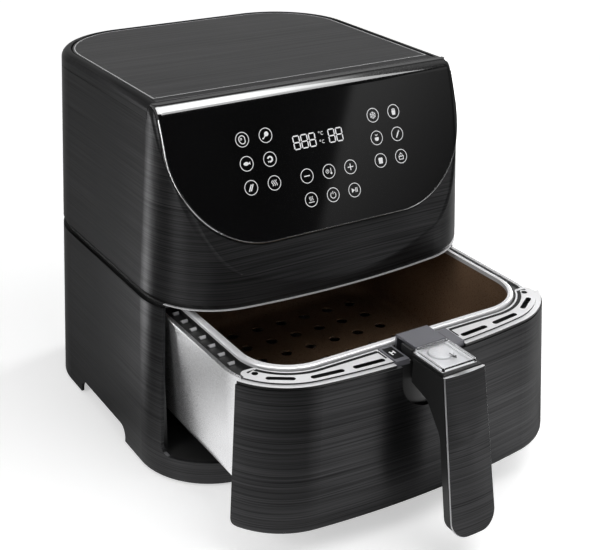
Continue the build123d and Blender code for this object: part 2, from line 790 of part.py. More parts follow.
def pan_block(low, inset, radius_low):
    block = tray_block(
        PAN_HALF_WIDTH - inset, PAN_FRONT + inset, PAN_BACK - inset, PAN_RADIUS - inset,
        low, PAN_HIGH, PAN_TAPER,
    )
    return fillet(block.faces().sort_by(Axis.Z)[0].edges(), radius_low)


def make_drawer_pan():
    pan = pan_block(PAN_LOW, 0.0, 12)
    flange = tray_block(
        PAN_HALF_WIDTH + PAN_FLANGE, PAN_FRONT, PAN_BACK + PAN_FLANGE, PAN_RADIUS + PAN_FLANGE,
        PAN_HIGH - PAN_SHEET, PAN_HIGH,
    )
    pan += flange
    room = pan_block(PAN_LOW + PAN_SHEET, PAN_SHEET, 10.5)
    room += tray_block(
        PAN_HALF_WIDTH - PAN_SHEET, PAN_FRONT + PAN_SHEET, PAN_BACK - PAN_SHEET, PAN_RADIUS - PAN_SHEET,
        PAN_HIGH - 0.01, PAN_HIGH + 5,
    )
    pan -= room
    for x in (-62, 62):
        for z in (62, 100):
            pan -= cross_rod(x, z, PAN_FRONT - 5, PAN_FRONT + 9, SCREW_RADIUS)
    return opened(pan)


def rim_clearance(grow, low, high):
    """Block round the basket's rim, grown to all sides."""
    return tray_block(RIM_HALF_WIDTH + grow, RIM_FRONT - grow, RIM_BACK + grow, RIM_CORNER + grow, low, high)


def make_drawer_frame():
    low = FRAME_Z
    margin = PAN_SHEET + 0.5
    frame = tray_block(
        PAN_HALF_WIDTH - margin, PAN_FRONT + margin, PAN_BACK - margin, PAN_RADIUS - margin, low, low + 2
    )
    frame += rim_clearance(0.0, low + 2, RIM_LOW - 0.3)
    frame -= rim_clearance(0.8 - BASKET_INSET, low - 5, RIM_HIGH)
    frame -= span(-20, 20, -200, RIM_FRONT + 3, low - 5, RIM_HIGH)
    for i in range(RAMP_COUNT):
        front = RAMP_START + RAMP_PITCH * i
        foot = low + 1.9
        ramp = make_face(Polyline((front, foot), (front + 6, foot), (front + 1.5, foot + 3), close=True))
        for x in (-RAMP_X, RAMP_X):
            frame += Pos(x, 0, 0) * side_profile(ramp, 2.2)
    return opened(frame)


def trim_slots(side):
    """Slots and the end hole that pierce one trim, along the middle of its strip."""
    cuts = []
    for x in (48, 81):
        y = casing_face(x, TRIM_TOP) + 10.5
        slope = degrees(atan2(2 * FRONT_BOW * x / casing_half_width(TRIM_TOP) ** 2, 1))
        slot = Rot(0, 0, side * slope) * extrude(SlotOverall(26, 4.4), 10)
        cuts.append(Pos(side * x, y, TRIM_Z - 1) * slot)
    corner = Pos(side * 112.5, -114.5, TRIM_Z - 1) * Rot(0, 0, side * 33)
    cuts.append(corner * extrude(SlotOverall(21, 4.2), 10))
    cuts.append(rod(side * 124.5, -99.5, TRIM_Z - 1, TRIM_TOP + 1, 2.4))
    return cuts


def make_trim(side):
    trim = casing_block(TRIM_Z, TRIM_TOP, TRIM_INSET)
    ledge = TRIM_INSET + TRIM_LEDGE
    trim -= casing_block(TRIM_TOP - TRIM_STEP, TRIM_TOP + 1) - casing_block(TRIM_Z, TRIM_TOP + 2, ledge)
    trim &= span(*sorted((side * (DOCK_OUTER + 0.3), side * 200)), -300, TRIM_END_Y, 0, 400)
    trim -= span(*sorted((side * TRIM_END_HALF_WIDTH, side * 200)), MOUTH_END_Y, 0, 0, 400)
    trim -= rim_clearance(2.0, TRIM_Z - 5, TRIM_TOP + 5)
    end_corners = trim.edges().filter_by(Axis.Z).filter_by(lambda e: e.center().Y > TRIM_END_Y - 0.1)
    trim = fillet(end_corners, TRIM_END_RADIUS)
    groove = rim_clearance(6.2, TRIM_TOP - 1, TRIM_TOP + 5) - rim_clearance(4.8, TRIM_TOP - 2, TRIM_TOP + 6)
    groove &= span(*sorted((side * (DOCK_OUTER + 4), side * 200)), -300, TRIM_END_Y - 3, 0, 400)
    trim -= groove
    for cut in trim_slots(side):
        trim -= cut
    return opened(trim)


def make_handle_recess():
    plate = casing_block(NOTCH_LOW - 6, DRAWER_HIGH - 0.1, DRAWER_WALL + 0.2)
    plate -= casing_block(NOTCH_LOW - 10, DRAWER_HIGH + 5, DRAWER_WALL + 3.2)
    plate &= notch_prism(NOTCH_HALF_WIDTH + 6, NOTCH_LOW - 6, NOTCH_RADIUS + 4)
    return opened(plate - span(-6, 6, -200, -100, 122, 200))


def make_handle_dock():
    cheeks = []
    for side in (-1, 1):
        cheek = casing_block(TRIM_Z, TRIM_TOP + 0.8, TRIM_INSET + 1.5)
        cheek &= span(*sorted((side * DOCK_INNER, side * DOCK_OUTER)), -300, RIM_FRONT - 2.5, 0, 400)
        cheeks.append(opened(cheek))
    return cheeks


def make_sensor_magnet():
    back = PAN_BACK - PAN_TAPER * (PAN_HIGH - 119) / (PAN_HIGH - PAN_LOW)
    return opened(span(57, 69, back + 0.3, back + 3.3, 113, 125))


# Basket

def basket_block(low, inset, radius_low):
    gap = BASKET_INSET + inset
    block = tray_block(
        RIM_HALF_WIDTH - gap, RIM_FRONT + gap, RIM_BACK - gap, RIM_CORNER - gap,
        low, RIM_LOW + 0.5, BASKET_TAPER,
    )
    return fillet(block.faces().sort_by(Axis.Z)[0].edges(), radius_low)


def make_basket():
    basket = basket_block(BASKET_LOW, 0.0, 10)
    room = basket_block(BASKET_LOW + BASKET_SHEET, BASKET_SHEET, 8.5)
    basket -= room
    middle = (RIM_FRONT + RIM_BACK) / 2
    holes = []
    for i in range(HOLE_COUNT):
        for j in range(HOLE_COUNT):
            x = (i - (HOLE_COUNT - 1) / 2) * HOLE_PITCH
            y = middle + (j - (HOLE_COUNT - 1) / 2) * HOLE_PITCH
            if abs(x) + abs(y - middle) < 0.9 * HOLE_COUNT * HOLE_PITCH:
                holes.append(rod(x, y, BASKET_LOW - 3, BASKET_LOW + 5, HOLE_RADIUS))
    basket -= holes
    for x in (-RIVET_X, RIVET_X):
        basket -= cross_rod(x, RIVET_Z, RIM_FRONT - 5, RIM_FRONT + 20, RIVET_RADIUS)
    return opened(basket)


def make_basket_rim():
    rim = tray_block(RIM_HALF_WIDTH, RIM_FRONT, RIM_BACK, RIM_CORNER, RIM_LOW, RIM_HIGH)
    rim = fillet(rim.faces().sort_by(Axis.Z)[-1].edges(), 2.0)
    rim -= rim_clearance(-RIM_WIDTH, RIM_LOW - 5, RIM_HIGH + 5)
    rim -= rim_clearance(0.15 - BASKET_INSET, RIM_LOW - 5, RIM_LOW + 0.6)
    return opened(rim)


def make_handle_bracket():
    back = RIM_FRONT - DRAWER_OPEN - 0.3
    tab = span(-STRAP_HALF_WIDTH, STRAP_HALF_WIDTH, back - 2, back, 116, STRAP_Z + 2)
    strap = span(-STRAP_HALF_WIDTH, STRAP_HALF_WIDTH, GUARD_BACK + 0.5, back, STRAP_Z, STRAP_Z + 2)
    bracket = tab + strap
    bend = bracket.edges().filter_by(Axis.X).sort_by(lambda e: e.center().Z + e.center().Y)[-1:]
    bracket = fillet(bend, 1.5)
    for x in (-RIVET_X, RIVET_X):
        bracket -= cross_rod(x, RIVET_Z, back - 10, back + 10, RIVET_RADIUS)
    return bracket


def make_bracket_rivets():
    rivets = []
    tab_front = RIM_FRONT - DRAWER_OPEN - 2.3
    draft = BASKET_TAPER * (RIM_LOW - RIVET_Z) / (RIM_LOW - BASKET_LOW)
    wall = RIM_FRONT - DRAWER_OPEN + BASKET_INSET + draft
    for x in (-RIVET_X, RIVET_X):
        shank = cross_rod(x, RIVET_Z, tab_front, wall + BASKET_SHEET + 0.5, RIVET_RADIUS - 0.05)
        spacer = cross_rod(x, RIVET_Z, tab_front + 2.05, wall - 0.6, 4.5)
        outer = cross_rod(x, RIVET_Z, tab_front - 1.5, tab_front, 4.5)
        inner = cross_rod(x, RIVET_Z, wall + BASKET_SHEET + 0.4, wall + BASKET_SHEET + 1.9, 4.5)
        rivets.append(shank + spacer + outer + inner)
    return rivets


# Handle

def handle_lean(z):
    """Front of the handle's cover at a height."""
    return HANDLE_LOW_Y + (HANDLE_TOP_Y - HANDLE_LOW_Y) * (z - HANDLE_LOW) / (HANDLE_TOP - HANDLE_LOW)


def handle_outline(inset):
    """Room inside the handle's front view: a little wider below, with round lower corners."""
    high = HANDLE_TOP + 20
    low = HANDLE_LOW - 1.0 + inset
    widths = []
    for z in (low, high):
        drop = (HANDLE_TOP - z) / (HANDLE_TOP - HANDLE_LOW)
        widths.append(HANDLE_HALF_WIDTH + 0.4 + HANDLE_FLARE * drop - inset)
    foot, head = widths
    outline = make_face(Polyline((-head, high), (head, high), (foot, low), (-foot, low), close=True))
    outline = fillet(outline.vertices().group_by(Axis.Y)[0], HANDLE_TIP_RADIUS - inset)
    return extrude(Plane.XZ.offset(200) * outline, 130)


def make_handle_core():
    top_y = HANDLE_TOP_Y + HANDLE_COVER
    low_y = handle_lean(HANDLE_LOW) + HANDLE_COVER
    bend_z = 98.0
    bend_y = handle_lean(bend_z) + LEG_DEPTH
    foot_y = handle_lean(HANDLE_LOW) + LEG_DEPTH
    outline = make_face(
        Polyline(
            (top_y, HANDLE_TOP), (low_y, HANDLE_LOW), (foot_y, HANDLE_LOW), (bend_y, bend_z), (-270, 119),
            (ARM_BACK, 124), (ARM_BACK, ROOT_LOW), (ROOT_BACK, ROOT_LOW), (ROOT_BACK, STRAP_Z),
            (GUARD_BACK + 0.8, STRAP_Z), (GUARD_BACK + 0.8, HANDLE_TOP),
            close=True,
        )
    )
    bends = outline.vertices().filter_by(lambda v: abs(v.X - bend_y) < 0.01 or abs(v.X + 270) < 0.01)
    outline = fillet(bends, 14)
    core = side_profile(outline, HANDLE_HALF_WIDTH + HANDLE_FLARE) & handle_outline(0.4)
    for side in (-1, 1):
        flank = sorted((side * (STRAP_HALF_WIDTH + 3), side * 40))
        core -= span(*flank, GUARD_BACK - 3, -200, ROOT_LOW - 1, 200)
    core -= rod(0, BUTTON_Y, BUTTON_SHELF, HANDLE_TOP + 1, BUTTON_RADIUS + 0.4)
    core -= rod(0, BUTTON_Y, PIVOT_Z, HANDLE_TOP, STEM_RADIUS + 0.3)
    slot = LEVER_HALF_WIDTH + 1
    core -= span(-slot, slot, PIVOT_Y - 6, ARM_BACK + 1, PIVOT_Z - 6.5, BUTTON_SHELF - 1.6)
    return core - Pos(0, PIVOT_Y, PIVOT_Z) * Rot(0, 90, 0) * Cylinder(PIN_RADIUS, 30)


def cover_section(z):
    """Level section of the handle's cover: flat behind, bowed in front."""
    half = HANDLE_HALF_WIDTH + 2 * HANDLE_FLARE
    front = handle_lean(z)
    edge = front + HANDLE_BOW
    back = front + HANDLE_COVER - 0.05
    bow = ThreePointArc((-half, edge), (0, front), (half, edge))
    rest = Polyline((half, edge), (half, back), (-half, back), (-half, edge))
    return Pos(0, 0, z) * make_face([bow, rest])


def make_handle_cover():
    cover = loft([cover_section(HANDLE_LOW - 1.0), cover_section(HANDLE_TOP + 1.5)], ruled=True)
    cover &= handle_outline(0.0)
    return chamfer(cover.faces().sort_by(Axis.Y)[0].edges(), 0.7)


def make_handle_bezel():
    low = HANDLE_TOP
    half = HANDLE_HALF_WIDTH - 0.8
    bezel = span(-half, half, HANDLE_TOP_Y + HANDLE_COVER + 0.6, GUARD_BACK + 0.5, low, low + 2.5)
    for side in (-1, 1):
        bezel += span(*sorted((side * 11.2, side * 13.2)), GUARD_FRONT + 2, GUARD_BACK - 1, low, low + 3.9)
    bezel -= rod(0, BUTTON_Y, low - 5, low + 10, BUTTON_RADIUS + 0.4)
    return bezel


def make_button_guard():
    low = HANDLE_TOP + 2.8
    guard = span(-GUARD_HALF_WIDTH, GUARD_HALF_WIDTH, GUARD_FRONT, GUARD_BACK, low, GUARD_TOP)
    guard = fillet(guard.edges().filter_by(Axis.Z), 2)
    guard = fillet(guard.faces().sort_by(Axis.Z)[-1].edges(), 0.7)
    tab_half = GUARD_HALF_WIDTH - 2.0
    guard += span(-tab_half, tab_half, GUARD_BACK - 2.6, GUARD_BACK - 0.8, GUARD_TOP - 1, GUARD_TAB)
    return guard - span(-13.5, 13.5, GUARD_FRONT - 5, GUARD_BACK + 5, low - 1, GUARD_TOP - 1.1)


def make_release_button():
    button = rod(0, BUTTON_Y, CAP_LOW, BUTTON_TOP, BUTTON_RADIUS)
    button = fillet(button.edges().filter_by(GeomType.CIRCLE).sort_by(Axis.Z)[-1:], 1.2)
    button -= rod(0, BUTTON_Y, CAP_LOW - 1, SPRING_TOP + 0.1, 7.4)
    return button + rod(0, BUTTON_Y, LEVER_PAD + 0.5, SPRING_TOP + 1, STEM_RADIUS)


def make_button_spring():
    sleeve = rod(0, BUTTON_Y, BUTTON_SHELF + 0.05, SPRING_TOP, 6.6)
    return sleeve - rod(0, BUTTON_Y, BUTTON_SHELF - 1, SPRING_TOP + 1, 5.4)


def make_latch_lever():
    tip = ARM_BACK + 4.2
    low = PIVOT_Z - 2.4
    outline = make_face(
        Polyline(
            (PIVOT_Y - 4, low), (tip, low), (tip, PIVOT_Z + 2), (tip - 2, PIVOT_Z + 2),
            (tip - 3.2, PIVOT_Z - 0.4), (BUTTON_Y + 5, PIVOT_Z - 0.4), (BUTTON_Y + 3, LEVER_PAD),
            (PIVOT_Y - 4, LEVER_PAD),
            close=True,
        )
    )
    rounded = outline.vertices().filter_by(lambda v: abs(v.X - PIVOT_Y + 4) < 0.01)
    lever = side_profile(fillet(rounded, 2), LEVER_HALF_WIDTH)
    return lever - Pos(0, PIVOT_Y, PIVOT_Z) * Rot(0, 90, 0) * Cylinder(PIN_RADIUS + 0.05, 30)


def make_latch_pin():
    return Pos(0, PIVOT_Y, PIVOT_Z) * Rot(0, 90, 0) * Cylinder(PIN_RADIUS, 29)


# Every node and the function that makes it

NODES = {
    "top_panel": make_top_panel,
    "top_cover": make_top_cover,
    "upper_shell": make_upper_shell,
    "control_panel": make_control_panel,
    "control_board": make_control_board,
    "display_module": make_display_module,
    "lower_shell": make_lower_shell,
    "seam_band": make_seam_band,
    "front_edge_strip": make_front_edge_strip,
    "cord_gland": make_cord_gland,
    "base_plate": make_base_plate,
    "rubber_feet": make_rubber_feet,
    "base_screws": make_base_screws,
    "bay_liner": make_bay_liner,
    "bay_floor": make_bay_floor,
    "drawer_rails": make_drawer_rails,
    "drawer_sensor": make_drawer_sensor,
    "head_plate": make_head_plate,
    "chamber_dome": make_chamber_dome,
    "heating_element": make_heating_element,
    "element_guard": make_element_guard,
    "heat_shield": make_heat_shield,
    "temperature_sensor": make_temperature_sensor,
    "thermal_cutout": make_thermal_cutout,
    "motor_bracket": make_motor_bracket,
    "motor": make_motor,
    "motor_screws": make_motor_screws,
    "board_tray": make_board_tray,
    "power_board": make_power_board,
    "exhaust_duct": make_exhaust_duct,
    "air_outlet_grille": make_air_outlet_grille,
    "motor_shaft": make_motor_shaft,
    "convection_fan": make_convection_fan,
    "cooling_fan": make_cooling_fan,
    "drawer_pan": make_drawer_pan,
    "drawer_front": make_drawer_front,
    "front_screws": make_front_screws,
    "drawer_frame": make_drawer_frame,
    "trim_left": lambda: make_trim(-1),
    "trim_right": lambda: make_trim(1),
    "handle_recess": make_handle_recess,
    "handle_dock": make_handle_dock,
    "sensor_magnet": make_sensor_magnet,
    "basket": make_basket,
    "basket_rim": make_basket_rim,
    "handle_bracket": make_handle_bracket,
    "bracket_rivets": make_bracket_rivets,
    "handle_core": make_handle_core,
    "handle_cover": make_handle_cover,
    "handle_bezel": make_handle_bezel,
    "latch_pin": make_latch_pin,
    "release_button": make_release_button,
    "button_spring": make_button_spring,
    "latch_lever": make_latch_lever,
    "button_guard": make_button_guard,
}


def main():
    os.makedirs("parts", exist_ok=True)
    for name, make in NODES.items():
        shape = make()
        solids = shape if isinstance(shape, list) else shape.solids()
        piece = Compound(label=name, children=list(solids)) if len(solids) > 1 else solids[0]
        export_step(piece, f"parts/{name}.step")


main()
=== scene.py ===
import math

import bmesh
import bpy
from mathutils import Matrix, Vector
from mathutils.bvhtree import BVHTree


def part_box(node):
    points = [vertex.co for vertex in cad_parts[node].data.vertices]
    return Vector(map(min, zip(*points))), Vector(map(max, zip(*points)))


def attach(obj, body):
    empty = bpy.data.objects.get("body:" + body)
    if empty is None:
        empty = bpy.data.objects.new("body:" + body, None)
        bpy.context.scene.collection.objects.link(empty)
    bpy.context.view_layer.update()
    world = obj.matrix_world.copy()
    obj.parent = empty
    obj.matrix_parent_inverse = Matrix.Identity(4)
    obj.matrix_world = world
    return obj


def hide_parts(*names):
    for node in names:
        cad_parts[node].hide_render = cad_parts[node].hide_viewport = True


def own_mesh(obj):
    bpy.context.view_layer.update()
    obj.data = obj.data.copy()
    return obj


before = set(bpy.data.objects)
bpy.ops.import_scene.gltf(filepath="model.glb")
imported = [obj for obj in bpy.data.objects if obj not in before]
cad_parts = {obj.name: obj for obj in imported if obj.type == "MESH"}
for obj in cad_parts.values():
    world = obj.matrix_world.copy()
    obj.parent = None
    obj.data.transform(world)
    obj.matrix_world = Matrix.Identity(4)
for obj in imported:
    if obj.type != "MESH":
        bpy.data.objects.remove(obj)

bl_info = {
    "name": "Air fryer looks",
    "version": (1, 0, 0),
    "blender": (4, 5, 0),
    "location": "3D View > Sidebar > Air fryer",
    "description": "Finishes, panel marks and studio for an air fryer with a drawer",
    "category": "Object",
}

MM = 0.001
X_AXIS = Vector((1, 0, 0))
Y_AXIS = Vector((0, 1, 0))
Z_AXIS = Vector((0, 0, 1))

# The head's leaning face, as in the CAD model
FACE_LEAN = math.radians(21.5)
FACE_UP = Vector((0, math.sin(FACE_LEAN), math.cos(FACE_LEAN)))
FACE_INWARD = Vector((0, math.cos(FACE_LEAN), -math.sin(FACE_LEAN)))
FACE_FOOT = Vector((0, -0.14029, 0.160))

# Places where a finish or a painted colour changes, and how gradually it does, in metres
# The head's brushed sheet is painted black below this height, so it is dark along its lowest few millimetres
HEAD_LIP = 0.155
CROWN_TOP = 0.302
PLATE_FRONT = -0.064
CHANGE = 0.0002
# Sides and heights of the frame's small ramps, which are painted pale as a painted highlight
PAINTED_GLINT_ACROSS = (0.1250, 0.1252)
PAINTED_GLINT_UP = (0.1368, 0.1378)
BORDER = 0.0003

# Direction that the front of the handle's cover faces
HANDLE_FRONT = Vector((0, -0.98, 0.2))

# Lines round the top plate, a painted highlight along its edge and a painted shade for the gap round it: how
# far in from its edge they lie, in millimetres
EDGE_HIGHLIGHT_INSET = 1.6
GAP_SHADE_INSET = 0.6

# Dark line on each trim, its inner groove widened by painted shade from under the basket's rim, in
# millimetres, but its turn in degrees and its hook's width as a share
RIM_CORNER = 42.0
TRIM_LINE_GAP = 4.9
TRIM_LINE_START = 33.0
TRIM_LINE_TURN = -30.5
DOCK_TURN = 11.0
END_HOOK = (6.8, -0.6)
HOOK_SHARE = 1.4

# Places of the dock's window and the guard's arrow from their pieces' edges or middles, in metres
WINDOW_PLACE = (0.0057, 0.001)
ARROW_PLACE = (0.003, 0.011)

# Radius of the heads of the screws under the base, in millimetres
SCREW_RADIUS = 3.2

# How much of its full brightness a lacquered sheet keeps at a grazing angle
EDGE_TINT = 0.6

# Outline of the fascia seen from the front, and how far in its bead lies, in millimetres
FASCIA_HALF_WIDTH = 134.0
FASCIA_BOTTOM = 196.0
FASCIA_RADIUS = 74.0
FASCIA_TOP = 293.0
BEAD_INSET = 0.9

# Layout of the touch keys and digits, in millimetres across the face and up it from its foot
KEY_MIDDLE = -0.8
KEY_PITCH = 20.2
GROUP_SHIFT = 59.5
KEY_ROWS = (118.4, 100.2, 82.0, 63.5)
DIGIT_HEIGHT = 10.2
DIGIT_WIDTH = 5.4
DIGIT_PITCH = 7.1
DIGIT_LOW = 103.4
DIGIT_LEAN = 0.03
DIGIT_STARTS = ((-27.2, 3, 0.0), (4.9, 2, 0.3))
DEGREE_ROWS = (104.0, 110.6)

# Softboxes: place, point that each is turned to, width and height
OVERHEAD = ((0.30, -0.60, 1.2), (0, -0.05, 0.1), 0.8, 0.8)
LEFT_BOX = ((-1.1, -0.3, 0.6), (-0.1, -0.15, 0.1), 0.4, 0.6)
RIGHT_STRIP = ((1.1, 0.35, 0.45), (0.1, -0.2, 0.1), 0.3, 0.9)
LEFT_SHARE = 0.4

# The floor, and how its glow for the camera and its level in reflections change over it
FLOOR_HALF = 4.0
FLOOR_DROP = 0.0002
FLOOR_GREY = (0.8, 0.8, 0.8, 1)
FLOOR_GLOW = (0.5, 2.0, 0.45, 0.8)
FLOOR_LEVEL = (-0.05, 0.05, 0.08, 0.36)

# Cards on the floor that only reflections show: left, right, front and back edge, and strength
CARD_SOFT = 0.05
FLOOR_CARDS = (
    (-0.45, -0.06, -0.37, -0.03, 1.1),
    (-0.06, 0.08, -0.62, -0.34, 2.2),
    (0.10, 0.27, -0.60, -0.26, 2.9),
    (0.27, 0.90, -0.60, 0.05, 0.85),
    (0.22, 0.45, -0.33, -0.22, 1.5),
)

# Beam on the floor that fans out behind the casing's front left corner, also for reflections only
BEAM_FOOT = (-0.107, -0.160, 0.0)
BEAM_START = 0.33
BEAM_SOFT = 0.03
BEAM_TURNS = (120, 125, 131, 138)
BEAM_STRENGTH = 7.0

# Sky that reflections show: ranges of a direction's parts with the levels between them, and a card's side
SKY_LEVEL = (-0.6, 0.8, 0.012, 0.50)
CROWN_HIGH = (0.68, 0.76)
CROWN_NEAR = (0.0, 0.12, 1, 0)
CROWN_LEFT = (0.46, 0.56, 6.0, 0.1)
CARD_SIDE = (0.7758, 0.3193, -0.5443)
CARD_EDGE = (-0.003, 0.003)
CARD_FADE = (0.0, 0.12, 0.24, 0.04)
CARD_LOW = (0.18, 0.34, 0.25, 1)
CARD_FRONT = (-0.6, -0.4, 1, 0)


# Flat outlines, in millimetres

def polar(radius, degrees):
    """Point at a distance from the origin, in a direction."""
    turn = math.radians(degrees)
    return radius * math.cos(turn), radius * math.sin(turn)


def arc(x, y, radius, start, end, steps=12):
    """Points along an arc, from one angle in degrees to another."""
    points = [polar(radius, start + (end - start) * i / steps) for i in range(steps + 1)]
    return [(x + across, y + up) for across, up in points]


def ring(x, y, radius, width, steps=40):
    """Quads of a flat ring."""
    outer = arc(x, y, radius, 0, 360, steps)
    inner = arc(x, y, radius - width, 0, 360, steps)
    return [[outer[i], outer[i + 1], inner[i + 1], inner[i]] for i in range(steps)]


def ribbon(points, width, closed=False):
    """Quads of a line of even width through points, with mitred bends."""
    count = len(points)
    sides = []
    for i, point in enumerate(points):
        before = points[i - 1] if i or closed else point
        after = points[(i + 1) % count] if i + 1 < count or closed else point
        along_in = Vector((point[0] - before[0], point[1] - before[1]))
        along_out = Vector((after[0] - point[0], after[1] - point[1]))
        along_in = along_in.normalized() if along_in.length else along_out.normalized()
        along_out = along_out.normalized() if along_out.length else along_in
        along = (along_in + along_out).normalized()
        across = Vector((-along.y, along.x))
        stretch = 1 / max(0.5, across.dot(Vector((-along_in.y, along_in.x))))
        offset = across * width / 2 * stretch
        here = Vector(point)
        sides.append((tuple(here + offset), tuple(here - offset)))
    last = count if closed else count - 1
    return [
        [sides[i][0], sides[(i + 1) % count][0], sides[(i + 1) % count][1], sides[i][1]]
        for i in range(last)
    ]


def moved(polygons, x, y, scale=1.0):
    """Polygons scaled about the origin and then moved."""
    return [[(x + scale * px, y + scale * py) for px, py in polygon] for polygon in polygons]


def rounded_box(half_width, half_height, radius, steps=5):
    """Outline of a rounded rectangle about the origin."""
    points = []
    corners = ((1, 1, 0), (-1, 1, 90), (-1, -1, 180), (1, -1, 270))
    for side_x, side_y, turn in corners:
        centre_x = side_x * (half_width - radius)
        centre_y = side_y * (half_height - radius)
        points += arc(centre_x, centre_y, radius, turn, turn + 90, steps)
    return points


def segment_digit(x, y):
    """All seven bars of one digit of a display, each with six sides, from its lower left corner."""
    bar = 0.95
    gap = 0.22
    half = DIGIT_HEIGHT / 2
    lines = [((0, level), (DIGIT_WIDTH, level)) for level in (0, half, DIGIT_HEIGHT)]
    lines += [((side, level), (side, level + half)) for side in (0, DIGIT_WIDTH) for level in (0, half)]
    bars = []
    for start, end in lines:
        along = (Vector(end) - Vector(start)).normalized()
        across = Vector((-along.y, along.x)) * bar / 2
        first = Vector(start) + along * gap
        last = Vector(end) - along * gap
        shape = [
            first, first + along * bar / 2 + across, last - along * bar / 2 + across,
            last, last - along * bar / 2 - across, first + along * bar / 2 - across,
        ]
        bars.append([(x + p.x - DIGIT_LEAN * p.y, y + p.y) for p in shape])
    return bars


# Pictograms of the keys, each about 3.5 millimetres from its middle to its edge

def cut_mark():
    """A thick cut with a small round bone."""
    outline = arc(-0.2, 0.3, 2.6, 20, 200) + arc(0.2, -0.8, 2.4, 205, 335)
    return ribbon(outline, 0.7, closed=True) + ring(-0.9, 0.4, 0.9, 0.45, 16)


def leg_mark():
    """A drumstick."""
    meat = arc(0.8, 0.9, 1.9, -60, 150) + [(-1.1, -0.9)]
    return [meat] + ribbon([(-0.8, -0.6), (-2.3, -2.3)], 0.7) + ring(-2.5, -2.1, 0.6, 0.6, 12)


def fish_mark():
    """A fish with its tail."""
    body = arc(-0.4, -1.6, 3.0, 40, 140, 8) + arc(-0.4, 1.6, 3.0, 220, 320, 8)
    return [body, [(1.7, 0.0), (3.1, 1.4), (3.1, -1.4)]]


def curl_mark():
    """A shrimp as a thick curl with a fan at its tail."""
    return ribbon(arc(0, 0, 1.9, 160, -110, 16), 1.3) + [[(-0.6, -1.4), (-2.2, -1.2), (-1.6, -2.6)]]


def strip_mark():
    """Two slices side by side."""
    slices = []
    for shift in (-0.9, 0.7):
        slices += ribbon([(shift - 1.2, -2.6), (shift + 1.4, 2.4)], 1.0)
    return slices


def heat_mark():
    """Three rising waves."""
    waves = []
    for shift in (-1.7, 0.0, 1.7):
        steps = [(shift + 0.5 * math.sin(i * 0.9), -2.2 + 0.55 * i) for i in range(9)]
        waves += ribbon(steps, 0.6)
    return waves


def frost_mark():
    """A six-armed flake."""
    arms = []
    for turn in range(30, 390, 60):
        arms += ribbon([polar(0.35, turn), polar(3.0, turn)], 0.5)
        for side in (-26, 26):
            arms += ribbon([polar(1.7, turn), polar(2.6, turn + side)], 0.4)
    return arms


def cup_mark():
    """A tapered cup of sticks."""
    sticks = []
    for shift in (-1.2, -0.4, 0.4, 1.2):
        sticks += ribbon([(shift, 0.5), (shift * 1.15, 2.5 + 0.4 * math.cos(3 * shift))], 0.55)
    return [[(-1.9, 0.6), (1.9, 0.6), (1.4, -2.7), (-1.4, -2.7)]] + sticks


def root_mark():
    """A round root with two leaves."""
    root = arc(0, -0.5, 1.9, 150, 390, 14)
    leaves = [[(0, 1.2), (-1.6, 2.9), (-0.3, 2.6)], [(0, 1.2), (1.6, 2.9), (0.3, 2.6)]]
    return [root] + leaves


def stalk_mark():
    """A slanted root with a leaf at its end."""
    body = [(-1.6, -2.8), (-0.7, -2.9), (1.6, 0.9), (0.5, 1.5)]
    return [body] + ribbon([(1.0, 1.2), (1.9, 2.9)], 0.6) + ribbon([(1.0, 1.2), (2.6, 2.0)], 0.5)


def loaf_mark():
    """A slice of bread."""
    crust = arc(-0.9, 1.1, 1.2, 200, 60, 8) + arc(0.9, 1.1, 1.2, 120, -20, 8)
    return [crust + [(1.7, -2.5), (-1.7, -2.5)]]


def cake_mark():
    """A small cake with a wavy top."""
    wave = [(-2.4 + 0.4 * i, 0.1 + 0.35 * math.sin(1.6 * i)) for i in range(13)]
    base = ribbon([(-2.2, -0.3), (-1.8, -2.4), (1.8, -2.4), (2.2, -0.3)], 0.6)
    return base + ribbon(wave, 0.6) + ribbon(arc(0, 0.6, 1.5, 20, 160, 8), 0.5) + ring(0, 2.5, 0.5, 0.5, 10)


def less_mark():
    """A minus sign."""
    return ribbon([(-2.6, 0), (2.6, 0)], 0.8)


def more_mark():
    """A plus sign."""
    return less_mark() + ribbon([(0, -2.6), (0, -0.4)], 0.8) + ribbon([(0, 0.4), (0, 2.6)], 0.8)


def clock_mark():
    """A dial beside a bulb, for time and heat."""
    dial = ring(-1.4, 0.2, 1.6, 0.45, 20) + ribbon([(-1.4, 1.2), (-1.4, 0.2), (-0.7, 0.2)], 0.4)
    return dial + ribbon([(1.9, 2.4), (1.9, -0.8)], 0.6) + ring(1.9, -1.6, 0.9, 0.9, 14)


def warm_mark():
    """Waves over a plate."""
    return moved(heat_mark(), 0, 0.8, 0.75) + ribbon([(-2.6, -2.0), (2.6, -2.0)], 0.6)


def power_mark():
    """A broken ring with a bar through the gap."""
    return ribbon(arc(0, -0.2, 2.4, 120, 420, 22), 0.6) + ribbon([(0, 0.6), (0, 2.9)], 0.6)


def play_mark():
    """A triangle and two bars."""
    bars = ribbon([(1.1, -1.8), (1.1, 1.8)], 0.7) + ribbon([(2.4, -1.8), (2.4, 1.8)], 0.7)
    return [[(-2.6, -1.8), (-2.6, 1.8), (0.3, 0)]] + bars


# Meshes laid on the CAD model

def surface_of(node):
    """Search tree over the faces of a CAD node."""
    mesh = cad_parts[node].data
    corners = [v.co.copy() for v in mesh.vertices]
    return BVHTree.FromPolygons(corners, [tuple(p.vertices) for p in mesh.polygons])


